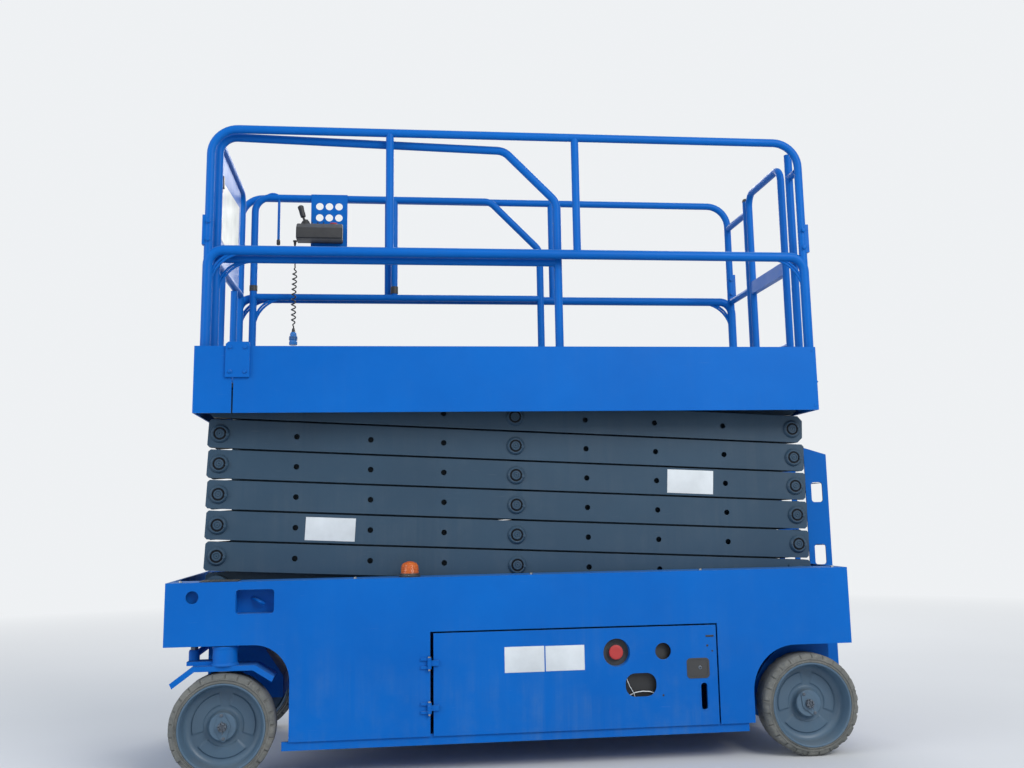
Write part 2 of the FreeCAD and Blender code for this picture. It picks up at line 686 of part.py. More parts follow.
def axle_stubs():
    """Rear hub motors with their stubs, and the kingpins of the steered wheels."""
    hubs = [rod("Z", (s.yoke_low, s.front_overhang), s.kingpin_radius,
                x=-front_axle, y=side * s.track_half) for side in (NEAR, FAR)]
    disc = s.track_half + s.tyre_width / 2 - s.rim_dish
    for side in (NEAR, FAR):
        motor = rod("Y", sides(side, s.rear_box_wide, disc - s.rim_wall - s.rib_gap), s.motor_radius,
                    x=rear_axle, z=s.tyre_radius)
        stub = rod("Y", sides(side, s.rear_box_wide, disc + s.hub_height), s.stub_radius,
                   x=rear_axle, z=s.tyre_radius)
        hubs.append(fuse(motor, stub))
    node("axle_stubs", group(*hubs))


def pothole_guards():
    face = s.chassis_side - s.guard_inset
    reach = front_axle - s.guard_reach
    bars = [box((-reach, reach), sides(side, face - s.guard_thick, face),
                (s.guard_low, s.chassis_low)) for side in (NEAR, FAR)]
    node("pothole_guards", group(*bars))


def pin_lug(side, low, high, levels, pin_level):
    """Two plates beside an arm's end, with the pin that it turns on."""
    x = rear_pin
    plates = [box((x - s.lug_half, x + s.lug_half), sides(side, face, face + s.lug_thin), levels)
              for face in (low - s.lug_side, high + s.lug_gap)]
    pin = rod("Y", sides(side, low - s.lug_side, high + s.lug_side), s.pin_radius, x=x, z=pin_level)
    return fuse(*plates, pin)


def channel_fittings():
    """Tracks for the lowest rollers, and lugs with the pins of the lowest outer arms."""
    top = s.arm_low - s.roller_radius - s.seat_gap
    tracks = [box((front_pin - s.track_lead, -s.track_end), sides(side, s.outer_arm, outer_face),
                  (s.channel_floor, top)) for side in (NEAR, FAR)]
    lugs = [pin_lug(side, s.outer_arm, outer_face, (s.channel_floor, s.arm_low + s.lug_rise),
                    s.arm_low) for side in (NEAR, FAR)]
    node("channel_fittings", group(*tracks, *lugs))


def ladder():
    """Slotted side plates with folded steps between them."""
    face, back = ladder_face, ladder_face + s.ladder_deep
    middle = face + s.ladder_deep / 2
    outline = [(face, s.ladder_low), (back, s.ladder_low), (back, s.ladder_top - s.ladder_slope),
               (face, s.ladder_top)]
    levels = [s.step_low + step * s.step_pitch for step in range(STEPS)]
    half = (s.ladder_slot_low - s.ladder_slot_high) / 2
    slots = [slot_outline(middle, level - s.ladder_slot_high - half, s.ladder_slot, half,
                          s.ladder_bend) for level in levels[1:]]
    pieces = [pad("XZ", offset, s.ladder_plate, outline, *slots)
              for offset in (s.ladder_half - s.ladder_plate, -s.ladder_half)]
    for level in levels:
        pieces.append(box((face, back), (-s.ladder_half, s.ladder_half),
                          (level, level + s.ladder_plate)))
        pieces.append(box((back - s.ladder_plate, back), (-s.ladder_half, s.ladder_half),
                          (level, level + s.step_tall)))
    node("ladder", fuse(*pieces))


def beacon():
    node("beacon", group(rod("Z", (s.chassis_top, s.chassis_top + s.beacon_tall), s.beacon_radius,
                             x=-s.beacon_x, y=-s.beacon_y)))


def bay_blocks():
    """The batteries and the power unit that stand in the side bays."""
    inner, outer = s.bay_depth + s.block_clear, s.chassis_side - s.block_clear
    levels = (s.chassis_low + s.plate, s.door_top - 2 * s.block_clear)
    start = -s.door_front + s.block_clear
    node("battery_block", group(box((start, start + s.battery_length), (inner, outer), levels)))
    node("power_unit", group(box((start, start + s.unit_length), (-outer, -inner), levels)))


def door(side):
    """A folded pan with its latch pocket and slot; the near one also shows the controls."""
    offset = s.chassis_side - s.door_plate if side == NEAR else -s.chassis_side
    holes = [slot_outline(s.latch_x, s.latch_level, s.latch_half, s.latch_rise, s.latch_bend),
             slot_outline(s.slot_x, s.slot_level, s.slot_half, s.slot_rise, s.latch_bend)]
    if side == NEAR:
        holes += [(s.stop_hole_x, s.door_hole_level, s.stop_hole_radius),
                  (s.plug_hole_x, s.door_hole_level, s.plug_hole_radius),
                  slot_outline(s.window_x, s.window_level, s.window_half, s.window_rise,
                               s.window_bend)]
    panel = pad("XZ", offset, s.door_plate, [
        (-s.door_front, s.door_top), (s.door_rear, s.door_top),
        (s.door_rear, s.chassis_low), (-s.door_front, s.chassis_low)], *holes)
    fold = sides(side, s.chassis_side - s.door_flange, s.chassis_side - s.door_plate)
    foot = s.chassis_low + s.plate + s.door_slit
    folds = [box((-s.door_front, s.door_rear), fold, (s.door_top - s.door_plate, s.door_top)),
             box((-s.door_front, -s.door_front + s.door_plate), fold, (foot, s.door_top)),
             box((s.door_rear - s.door_plate, s.door_rear), fold, (foot, s.door_top))]
    barrel = (-s.hinge_tall / 4, s.hinge_tall / 4)
    leaves = hinge_leaf(side, -s.door_front + s.leaf_reach, [barrel])
    node("near_door" if side == NEAR else "far_door", fuse(panel, *folds, *leaves))


# Wheels and steering


def tyre():
    half = s.tyre_width / 2
    inner = s.rim_radius + s.seat_gap
    return revolved([
        (-half, inner), (half, inner), (half, s.tyre_radius, s.tyre_shoulder),
        (-half, s.tyre_radius, s.tyre_shoulder)])


def rim():
    """A dished rim with its boss; the outer face is towards -Y."""
    half = s.tyre_width / 2
    disc = -half + s.rim_dish
    inner = s.rim_radius - s.rim_wall
    bore = s.stub_radius + s.bore_gap
    return revolved([
        (-half, inner), (-half, s.rim_radius), (half, s.rim_radius), (half, inner),
        (disc + s.rim_wall, inner), (disc + s.rim_wall, bore), (disc - s.hub_height, bore),
        (disc - s.hub_height, s.hub_radius), (disc, s.hub_radius), (disc, inner)])


def wheel(name, side, axle):
    for part, maker in (("tyre", tyre), ("rim", rim)):
        piece = maker()
        turn = ((0, 0, 1), 180) if side == FAR else ()
        node(f"{name}_{part}", piece, axle, side * s.track_half, s.tyre_radius, *turn)


def yoke_outline():
    """The yoke's bent plate seen from the side."""
    x, low = -front_axle, s.yoke_low
    top = low + s.yoke_plate
    lean = s.yoke_plate / 2
    return [
        (x - s.yoke_front, low - s.yoke_fall_front), (x - s.yoke_flat, low), (x + s.yoke_flat, low),
        (x + s.yoke_rear, low - s.yoke_fall_rear), (x + s.yoke_rear + lean, top - s.yoke_fall_rear),
        (x + s.yoke_flat + lean, top), (x - s.yoke_flat - lean, top),
        (x - s.yoke_front - lean, top - s.yoke_fall_front)]


def knuckle(side):
    """Yoke over the wheel, kingpin sleeve, inner leg, hub motor, stub and steering arm."""
    x, plane = -front_axle, side * s.track_half
    disc = s.track_half + s.tyre_width / 2 - s.rim_dish
    leg_face = s.track_half - s.tyre_width / 2 - s.leg_gap
    yoke_top = s.yoke_low + s.yoke_plate
    sleeve = rod("Z", (yoke_top, s.front_overhang - s.sleeve_gap), s.sleeve_radius, x=x, y=plane)
    inboard, outboard = leg_face - s.yoke_plate, s.track_half + s.yoke_out
    yoke = pad("XZ", inboard if side == NEAR else -outboard, outboard - inboard, yoke_outline())
    leg = box((x - s.leg_half, x + s.leg_half), sides(side, inboard, leg_face),
              (s.tyre_radius - s.leg_drop, s.yoke_low))
    motor = rod("Y", sides(side, leg_face, disc - s.rim_wall - s.rib_gap), s.motor_radius,
                x=x, z=s.tyre_radius)
    stub = rod("Y", sides(side, leg_face, disc + s.hub_height), s.stub_radius,
               x=x, z=s.tyre_radius)
    arm = box((x - s.steer_arm - s.steer_eye, x),
              sides(side, s.track_half - s.steer_inset - s.tie_eye, s.track_half),
              (yoke_top, yoke_top + s.steer_plate))
    bore = rod("Z", (s.yoke_low - s.bore_ends, s.front_overhang), s.kingpin_radius + s.bore_gap,
               x=x, y=plane)
    whole = cut(fuse(sleeve, yoke, leg, motor, stub, arm), bore)
    node("near_knuckle" if side == NEAR else "far_knuckle", whole)


def tie_bar():
    """Tie bar with the eyes over the steering arms' ends."""
    x = -front_axle - s.steer_arm
    reach = s.track_half - s.steer_inset
    foot = s.yoke_low + s.yoke_plate + s.steer_plate + s.seat_gap
    level = foot + s.tie_eye
    bar = rod("Y", (-reach, reach), s.tie_radius, x=x, z=level)
    eyes = [rod("Z", (foot, level + s.tie_eye), s.tie_eye + s.tie_cup,
                x=x, y=side * reach) for side in (NEAR, FAR)]
    node("tie_bar", fuse(bar, *eyes))


# Arm stack


def arm_tubes(stage, low):
    """A pair of hollow arms in their own frame, centred on the middle pin."""
    corner = s.top_chamfer if stage == STAGES else s.arm_chamfer
    reach = arm_length / 2 + s.arm_end
    half = s.arm_tall / 2
    shells = []
    for side in (NEAR, FAR):
        outside = pad("XZ", low if side == NEAR else -low - s.arm_wide, s.arm_wide, [
            (-reach, half - corner), (-reach + corner, half),
            (reach - corner, half), (reach, half - corner),
            (reach, corner - half), (reach - corner, -half),
            (-reach + corner, -half), (-reach, corner - half)])
        inside = box((-reach - 1, reach + 1),
                     sides(side, low + s.arm_wall, low + s.arm_wide - s.arm_wall),
                     (-s.arm_tall / 2 + s.arm_wall, s.arm_tall / 2 - s.arm_wall))
        shells.append(cut(outside, inside))
    return shells


def bores(low, *spots):
    tools = []
    for spot in spots:
        for side in (NEAR, FAR):
            tools.append(rod("Y", sides(side, low - 1, low + s.arm_wide + 1),
                             s.pin_radius + s.bore_gap, x=spot))
    return tools


def spacers(spot):
    """Collars on a shaft that hold the inner and outer arms apart."""
    return [rod("Y", sides(side, s.outer_arm - s.arm_slot + s.seat_gap, s.outer_arm),
                s.cap_radius, x=spot) for side in (NEAR, FAR)]


def caps(spot):
    return [rod("Y", sides(side, outer_face, outer_face + s.cap_thick), s.cap_radius, x=spot)
            for side in (NEAR, FAR)]


def outer_pair(stage):
    """Outer arms: rear end low. Their end shafts pass through the inner arms."""
    half = arm_length / 2
    pieces = arm_tubes(stage, s.outer_arm)
    if stage > 1:
        pieces.append(rod("Y", (-outer_face, outer_face), s.pin_radius, x=half))
        pieces += spacers(half) + caps(half)
    pieces.append(rod("Y", (-outer_face, outer_face), s.pin_radius, x=-half))
    pieces += caps(-half)
    if stage == STAGES:
        for side in (NEAR, FAR):
            pieces.append(rod("Y", sides(side, inner_arm, s.outer_arm - s.seat_gap),
                              s.roller_radius, x=-half))
    else:
        pieces += spacers(-half)
    holes = bores(s.outer_arm, 0) + (bores(s.outer_arm, half) if stage == 1 else [])
    wall = outer_face - s.arm_wall - s.rib_gap
    for step in (-3, -2, -1, 1, 2, 3):
        holes += [rod("Y", sides(side, wall, outer_face + s.rib_gap), s.arm_hole,
                      x=step * s.arm_hole_pitch) for side in (NEAR, FAR)]
    centre = s.arm_low + (stage - 0.5) * s.pin_rise
    node(f"outer_arms_{stage}", cut(fuse(*pieces), *holes), middle_pin, 0, centre,
         (0, 1, 0), stow_angle)


def inner_pair(stage):
    """Inner arms: front end low. They carry the middle pins and the cross tubes."""
    half = arm_length / 2
    tubes = arm_tubes(stage, inner_arm)
    spots = ([] if stage == 1 else [-half]) + [half]
    pieces = [cut(fuse(*tubes), *bores(inner_arm, *spots))]
    edge = inner_arm + s.arm_wide
    for side in (NEAR, FAR):
        pieces.append(rod("Y", sides(side, edge, s.outer_arm - s.seat_gap), s.cap_radius))
        pieces.append(rod("Y", sides(side, outer_face + s.seat_gap, outer_face + s.cap_thick),
                          s.cap_radius))
        pieces.append(rod("Y", sides(side, inner_arm, outer_face + s.cap_thick), s.pin_radius))
        if stage == 1:
            pieces.append(rod("Y", sides(side, edge + s.seat_gap, outer_face), s.roller_radius,
                              x=-half))
    if stage == 1:
        pieces.append(rod("Y", (-outer_face, outer_face), s.pin_radius, x=-half))
    inner = inner_arm + s.arm_wall
    pieces.append(rod("Y", (-inner, inner), s.pin_radius, x=s.cylinder_foot))
    pieces.append(rod("Y", (-inner, inner), s.brace_radius, x=-s.brace_front))
    if stage in (2, 5):
        lug = s.eye_half + s.eye_play
        for side in (NEAR, FAR):
            pieces.append(box((-s.brace_front, -s.cylinder_foot + s.lug_tip),
                              sides(side, lug, lug + s.lug_plate), (-s.lug_deep, s.lug_deep)))
    centre = s.arm_low + (stage - 0.5) * s.pin_rise
    node(f"inner_arms_{stage}", fuse(*pieces), middle_pin, 0, centre, (0, -1, 0), stow_angle)


def lift_cylinder(name, stage):
    """Foot on one inner pair, rod eye at the next; built along -X from the foot pin."""
    foot_x = middle_pin + s.cylinder_foot * cosine(stow_angle)
    foot_z = s.arm_low + (stage - 0.5) * s.pin_rise + s.cylinder_foot * sine(stow_angle)
    run = 2 * s.cylinder_foot * cosine(stow_angle)
    rise = s.pin_rise - 2 * s.cylinder_foot * sine(stow_angle)
    reach = root(run * run + rise * rise)
    tilt = slope(rise, run)
    eye = rod("Y", (-s.eye_half, s.eye_half), s.eye_radius)
    barrel = rod("X", (-s.barrel_length, -s.barrel_neck), s.barrel_radius)
    hole = rod("Y", (-s.barrel_radius - 1, s.barrel_radius + 1), s.pin_radius + s.bore_gap)
    bore = rod("X", (-s.barrel_length - 1, -s.rod_start + s.rod_cover), s.rod_radius + s.bore_gap)
    node(f"{name}_barrel", cut(fuse(eye, barrel), hole, bore), foot_x, 0, foot_z, (0, 1, 0), tilt)
    shaft = rod("X", (-reach, -s.rod_start), s.rod_radius)
    end = rod("Y", (-s.eye_half, s.eye_half), s.eye_radius - s.eye_step, x=-reach)
    hollow = rod("Y", (-s.eye_half - 1, s.eye_half + 1), s.pin_radius - s.eye_step, x=-reach)
    node(f"{name}_rod", cut(fuse(shaft, end), hollow), foot_x, 0, foot_z, (0, 1, 0), tilt)


# Platform


def platform_deck():
    under = s.deck_floor - s.deck_plate
    inside = s.deck_side - s.plate
    half = inside - s.deck_inset
    nose, shoulder = -s.main_front - s.deck_nose, -s.deck_front + s.deck_lip
    end = s.deck_rear - s.plate
    floor = pad("XY", under, s.deck_plate, [
        (nose, -half), (shoulder, -half), (shoulder, -inside), (end, -inside),
        (end, inside), (shoulder, inside), (shoulder, half), (nose, half)])
    node("platform_floor", floor)
    boards = [box((-s.deck_front, s.deck_rear), sides(side, inside, s.deck_side),
                  (s.deck_low, s.toe_top)) for side in (NEAR, FAR)]
    back = box((end, s.deck_rear), (-inside, inside), (s.deck_low, s.deck_floor))
    node("platform_frame", fuse(*boards, back))


def platform_fittings():
    """Tracks for the top rollers, and lugs with the pins of the top inner arms."""
    under = s.deck_floor - s.deck_plate
    level = s.arm_low + STAGES * s.pin_rise
    edge = inner_arm + s.arm_wide
    tracks = [box((front_pin - s.track_lead, -s.track_end), sides(side, inner_arm, edge),
                  (level + s.roller_radius + s.seat_gap, under)) for side in (NEAR, FAR)]
    lugs = [pin_lug(side, inner_arm, edge, (level - s.lug_rise, under), level)
            for side in (NEAR, FAR)]
    node("platform_fittings", group(*tracks, *lugs))


def main_rails(side, rear_post):
    """Lower frame, full-length hoop above it with its fold tabs, and two upper posts."""
    y = side * s.main_rail
    front, rear = -s.main_front, s.main_rear
    lower = bent_tube([(front, y, s.deck_floor), (front, y, s.mid_rail),
                       (rear, y, s.mid_rail), (rear, y, s.deck_floor)],
                      s.post_radius, s.post_bend)
    foot = s.mid_rail - s.rail_foot
    upper = bent_tube([(front, y, foot), (front, y, s.top_rail), (rear, y, s.top_rail),
                       (rear, y, foot)], s.rail_radius, s.rail_bend)
    posts = [rod("Z", (s.mid_rail, s.top_rail), s.rail_radius - 1, x=x, y=y)
             for x in (-s.upper_post_front, rear_post)]
    tabs = [box(span, (y - s.tab_half, y + s.tab_half),
                (s.mid_rail + s.tab_low, s.mid_rail + s.tab_high))
            for span in ((front - s.tab_out, front), (rear, rear + s.tab_out))]
    node("main_rail_near" if side == NEAR else "main_rail_far", fuse(lower, upper, *posts, *tabs))


def rear_rails():
    """Short frames beside the gate."""
    frames = []
    beside = s.gate_radius + s.post_radius + s.gate_play
    for side, edge, reach, drop in (
            (NEAR, s.gate_near, beside + s.rear_near_gap, s.rear_near_drop),
            (FAR, s.gate_far, beside, s.rear_post_drop)):
        inner = side * (edge + reach)
        outer = side * (s.main_rail - s.post_radius - s.seat_gap)
        post = rod("Z", (s.deck_floor, s.top_rail - drop), s.rail_radius,
                   x=s.main_rear, y=inner)
        span = (outer, inner) if side == NEAR else (inner, outer)
        rails = [rod("Y", span, s.rail_radius - s.rib_gap, x=s.main_rear, z=level)
                 for level in (s.mid_rail, s.top_rail - s.rear_rail_drop)]
        seat = box((s.main_rear - s.seat_half, s.main_rear + s.seat_half),
                   sides(side, edge - s.gate_radius, edge + reach),
                   (s.gate_low - s.gate_play, s.gate_low - s.seat_gap))
        frames.append(fuse(post, seat, *rails))
    node("rear_rails", group(*frames))


def gate():
    x, near, far = s.main_rear, -s.gate_near, s.gate_far
    top = s.top_rail - s.gate_drop
    hoop = bent_tube([(x, near, s.gate_low), (x, near, top), (x, far, top),
                      (x, far, s.gate_low)], s.gate_radius, s.post_bend)
    foot = rod("Y", (near, far), s.gate_radius - 1, x=x, z=s.gate_low + s.gate_radius)
    band = box((x - s.gate_band_thick, x + s.gate_band_thick), (near, far),
               (s.mid_rail - s.gate_band, s.mid_rail + s.gate_band))
    node("gate", fuse(hoop, foot, band))


def extension_deck():
    top = s.deck_floor + s.seat_gap
    inner = s.deck_side - s.nose_plate
    floor = box((-s.nose_front + s.nose_plate, -s.extension_rear),
                (-s.extension_half, s.extension_half), (top, top + s.deck_plate))
    front = box((-s.nose_front, -s.nose_front + s.nose_plate), (-s.deck_side, s.deck_side),
                (s.deck_low, s.toe_top))
    returns = [box((-s.nose_front, -s.nose_rear), sides(side, inner, s.deck_side),
                   (s.deck_low, s.toe_top)) for side in (NEAR, FAR)]
    node("extension_deck", fuse(floor, front, *returns))


def extension_rails(side, front, top, middle, rear, knee):
    y = side * s.slide_rail
    floor = s.deck_floor + s.seat_gap + s.deck_plate
    corner = top + s.slide_lift if side == NEAR else top
    hoop = bent_tube([(front, y, floor), (front, y, corner), (rear - knee, y, top),
                      (rear, y, top - knee), (rear, y, floor)], s.rail_radius, s.slide_bend)
    pieces = [hoop, rod("X", (front, rear), s.rail_radius - 1, y=y, z=middle)]
    if side == FAR:
        pieces.append(rod("Z", (middle, top), s.rail_radius - 1, x=-s.slide_post_far, y=y))
    node("extension_rail_near" if side == NEAR else "extension_rail_far", fuse(*pieces))


def front_rails():
    """The hoop across the front, which rises to the far side, with its blank plate."""
    x, reach = -s.hoop_front, s.hoop_side
    hoop_top = slide_top_near + s.slide_lift
    floor = s.deck_floor + s.seat_gap + s.deck_plate
    hoop = bent_tube([(x, -reach, floor), (x, -reach, hoop_top), (x, reach, slide_top_far),
                      (x, reach, floor)], s.rail_radius, s.slide_bend)
    middle = bent_tube([(x, -reach, s.slide_mid), (x, reach, s.slide_mid_far)], s.rail_radius - 1)
    share = (reach + s.sign_edge) / (2 * reach)
    low = s.slide_mid + share * (s.slide_mid_far - s.slide_mid)
    high = hoop_top + share * (slide_top_far - hoop_top)
    sign = pad("YZ", x - s.sign_plate / 2, s.sign_plate, [
        (-reach, s.slide_mid), (s.sign_edge, low), (s.sign_edge, high),
        (s.slide_bend - reach, hoop_top), (-reach, hoop_top - s.slide_bend)])
    posts = [rod("Z", (floor, s.slide_mid), s.rail_radius - s.rib_gap, x=x, y=y)
             for y in (-s.front_post, s.front_post)]
    node("front_rails", fuse(hoop, middle, sign, *posts))


def controls():
    """Bracket, box and joystick on the far rail of the extension, with the curly cord."""
    face = s.slide_rail - s.rail_radius - s.seat_gap
    front = face - s.bracket_plate
    rail = slide_top_far
    start, end = -s.bracket_x - s.bracket_half, -s.bracket_x + s.bracket_half
    rows = (rail - s.bracket_row, rail - s.bracket_row - s.bracket_next)
    holes = [(-s.bracket_x + step * s.bracket_pitch, row, s.bracket_hole)
             for row in rows for step in (-1, 0, 1)]
    plate = pad("XZ", -face, s.bracket_plate, [
        (start, rail - s.bracket_drop), (end, rail - s.bracket_drop),
        (end, rail + s.bracket_above), (start, rail + s.bracket_above)], *holes)
    node("control_bracket", plate)
    middle = front - s.box_deep / 2
    low, high = rail - s.box_low, rail - s.box_top
    node("control_box", group(box((-s.box_x - s.box_half, -s.box_x + s.box_half),
                                  (front - s.box_deep, front), (low, high))))
    node("joystick", group(rod("Z", (high, high + s.stick_tall), s.stick_radius,
                               x=-s.stick_x, y=middle)))
    node("curly_cord", group(rod("Z", (s.curl_low, low), s.curl_radius,
                                 x=-s.curl_x, y=middle)))
    node("cord_connector", group(rod("Z", (s.curl_low - s.connector_tall, s.curl_low),
                                     s.connector_radius, x=-s.curl_x, y=middle)))


chassis_sides()
for side in (NEAR, FAR):
    door(side)
    knuckle(side)
chassis_pan()
chassis_ends()
chassis_belly()
bay_walls()
axle_boxes()
axle_stubs()
pothole_guards()
channel_fittings()
ladder()
beacon()
bay_blocks()
tie_bar()
for name, side, axle in (("near_front", NEAR, -front_axle), ("far_front", FAR, -front_axle),
                         ("near_rear", NEAR, rear_axle), ("far_rear", FAR, rear_axle)):
    wheel(name, side, axle)
for stage in range(1, STAGES + 1):
    outer_pair(stage)
    inner_pair(stage)
lift_cylinder("lower_cylinder", 1)
lift_cylinder("upper_cylinder", 4)
platform_deck()
platform_fittings()
main_rails(NEAR, s.upper_post_rear)
main_rails(FAR, s.far_post_rear)
rear_rails()
gate()
extension_deck()
extension_rails(NEAR, -s.slide_front, slide_top_near, s.slide_mid, s.slide_rear, s.slide_knee)
extension_rails(FAR, -s.slide_front_far, slide_top_far, s.slide_mid_far, s.slide_rear_far,
                s.slide_knee_far)
front_rails()
controls()

doc.recompute()
for obj in doc.Objects:
    if "Invalid" in obj.State or "Error" in obj.State:
        raise RuntimeError(f"{obj.Name} ({obj.Label}) failed: {obj.State}")
for name, obj in NODES.items():
    if obj.Shape.isNull() or not obj.Shape.isValid() or not obj.Shape.Solids:
        raise RuntimeError(f"{name} has no valid solid")

os.makedirs("parts", exist_ok=True)
for name, obj in NODES.items():
    obj.Shape.exportStep(f"parts/{name}.step")
print(len(NODES), "sub-parts written")
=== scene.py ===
"""Looks of a scissor lift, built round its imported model. Lengths are in metres, in the model's own frame."""

import json
import math

import bmesh
import bpy
from mathutils import Matrix, Vector


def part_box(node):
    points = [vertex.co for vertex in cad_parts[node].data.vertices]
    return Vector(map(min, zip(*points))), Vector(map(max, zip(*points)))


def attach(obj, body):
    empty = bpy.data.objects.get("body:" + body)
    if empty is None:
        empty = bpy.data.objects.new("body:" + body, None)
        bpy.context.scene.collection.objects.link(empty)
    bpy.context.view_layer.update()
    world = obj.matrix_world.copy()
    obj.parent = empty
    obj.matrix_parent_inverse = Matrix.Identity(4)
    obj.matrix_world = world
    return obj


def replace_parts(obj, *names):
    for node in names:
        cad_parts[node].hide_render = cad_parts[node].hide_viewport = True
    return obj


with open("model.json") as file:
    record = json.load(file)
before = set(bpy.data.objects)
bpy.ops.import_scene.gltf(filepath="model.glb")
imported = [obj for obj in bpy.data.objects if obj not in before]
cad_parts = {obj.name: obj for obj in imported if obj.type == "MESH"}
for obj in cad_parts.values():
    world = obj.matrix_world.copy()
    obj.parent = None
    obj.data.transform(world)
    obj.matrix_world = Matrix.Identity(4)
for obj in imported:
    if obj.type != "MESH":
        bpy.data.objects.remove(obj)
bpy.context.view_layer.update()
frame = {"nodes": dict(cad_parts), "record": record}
SHIFT = -0.05015  # the chassis centre, along X
NEAR, FAR = -1, 1
SIDES = (NEAR, FAR)
SIDE_NAMES = {NEAR: "near", FAR: "far"}
UP, DOWN, AFT = Vector((0, 0, 1)), Vector((0, 0, -1)), Vector((1, 0, 0))

# Materials

class Shader:
    """A small helper for node trees: each method adds one node and returns its output."""

    def __init__(self, name):
        self.material = bpy.data.materials.new(name)
        self.material.use_nodes = True
        self.tree = self.material.node_tree
        self.tree.nodes.clear()
        self.output = self.tree.nodes.new("ShaderNodeOutputMaterial")
        self.surface = self.tree.nodes.new("ShaderNodeBsdfPrincipled")
        self.tree.links.new(self.surface.outputs[0], self.output.inputs[0])
        self.where = self.add("TexCoord").outputs["Object"]

    def add(self, kind, inputs=None, **settings):
        made = self.tree.nodes.new("ShaderNode" + kind)
        for key, value in settings.items():
            setattr(made, key, value)
        for key, value in (inputs or {}).items():
            self.put(made.inputs[key], value)
        return made

    def put(self, socket, value):
        if isinstance(value, bpy.types.NodeSocket):
            self.tree.links.new(value, socket)
        elif socket.type == "RGBA" and len(value) == 3:
            socket.default_value = (*value, 1)
        else:
            socket.default_value = value

    def scaled(self, scale):
        return self.add("Mapping", {"Vector": self.where, "Scale": scale}).outputs[0]

    def noise(self, scale, detail=4.0, rough=0.55, where=None):
        inputs = {"Vector": where or self.where, "Scale": scale, "Detail": detail, "Roughness": rough}
        return self.add("TexNoise", inputs).outputs["Fac"]

    def cells(self, scale):
        return self.add("TexVoronoi", {"Vector": self.where, "Scale": scale}).outputs["Distance"]

    def ramp(self, value, low, high, to_low=0.0, to_high=1.0):
        inputs = {"Value": value, "From Min": low, "From Max": high, "To Min": to_low, "To Max": to_high}
        return self.add("MapRange", inputs, clamp=True).outputs[0]

    def math(self, operation, *values):
        return self.add("Math", dict(enumerate(values)), operation=operation).outputs[0]

    def times(self, *values):
        return self.math("MULTIPLY", *values)

    def mix(self, share, first, second):
        found = self.add("Mix", data_type="RGBA")
        self.put(found.inputs["Factor"], share)
        self.put(found.inputs["A"], first)
        self.put(found.inputs["B"], second)
        return found.outputs["Result"]

    def axis(self, letter):
        return self.add("SeparateXYZ", {"Vector": self.where}).outputs[letter]

    def facing_up(self):
        normal = self.add("NewGeometry").outputs["Normal"]
        return self.add("SeparateXYZ", {"Vector": normal}).outputs["Z"]

    def edges(self, radius):
        """1 along sharp edges and 0 elsewhere."""
        soft = self.rounded(radius)
        hard = self.add("NewGeometry").outputs["Normal"]
        same = self.add("VectorMath", {0: soft, 1: hard}, operation="DOT_PRODUCT").outputs["Value"]
        return self.ramp(self.math("SUBTRACT", 1.0, same), 0.004, 0.12)

    def bump(self, height, strength, distance, normal=None):
        found = self.add("Bump", {"Height": height, "Strength": strength, "Distance": distance})
        if normal is not None:
            self.put(found.inputs["Normal"], normal)
        return found.outputs[0]

    def rounded(self, radius):
        return self.add("Bevel", {"Radius": radius}, samples=4).outputs[0]

    def finish(self, **sockets):
        for key, value in sockets.items():
            self.put(self.surface.inputs[key.replace("_", " ")], value)
        return self.material

def painted(name, colour, deep, dust, rough, shine, dust_share=0.5, wear=0.3, grime=(0.1, 0.6)):
    """Sprayed enamel: slow colour drift, orange peel, streaks, dust that gathers low and on top, worn edges."""
    s = Shader(name)
    edge = 0.0012
    base = s.mix(s.ramp(s.noise(1.7, 5, 0.6), 0.32, 0.68), colour, deep)
    streak = s.noise(1, 6, 0.65, s.scaled((34, 34, 1.6)))
    speck = s.noise(55, 6, 0.7)
    blotch = s.noise(4.2, 7, 0.68)
    low = s.ramp(s.axis("Z"), grime[0], grime[1], 1.0, 0.12)
    patch = s.times(s.ramp(blotch, 0.42, 0.72), s.ramp(streak, 0.35, 0.75))
    top = s.times(s.ramp(s.facing_up(), 0.55, 0.95), s.ramp(speck, 0.25, 0.75, 0.35, 0.9))
    share = s.times(s.math("MAXIMUM", s.times(patch, low), top), dust_share)
    base = s.mix(share, base, dust)
    worn = s.times(s.edges(edge * 2), s.ramp(s.noise(38, 6, 0.7), 0.52, 0.62))
    lighter = tuple(0.55 * c + 0.28 for c in colour)
    base = s.mix(s.times(worn, wear), base, lighter)
    scratch = s.ramp(s.noise(1, 4, 0.6, s.scaled((9, 120, 260))), 0.7, 0.74)
    base = s.mix(s.times(scratch, 0.1), base, lighter)
    gloss = s.ramp(s.noise(7, 5, 0.6), 0.3, 0.7, rough - 0.05, rough + 0.09)
    gloss = s.math("ADD", gloss, s.times(share, 0.35))
    normal = s.bump(s.noise(2.6, 2, 0.4), 0.1, 0.02, s.rounded(edge))
    normal = s.bump(s.noise(420, 2, 0.5), 0.05, 0.0006, normal)
    return s.finish(Base_Color=base, Roughness=gloss, Normal=normal, Specular_IOR_Level=shine)

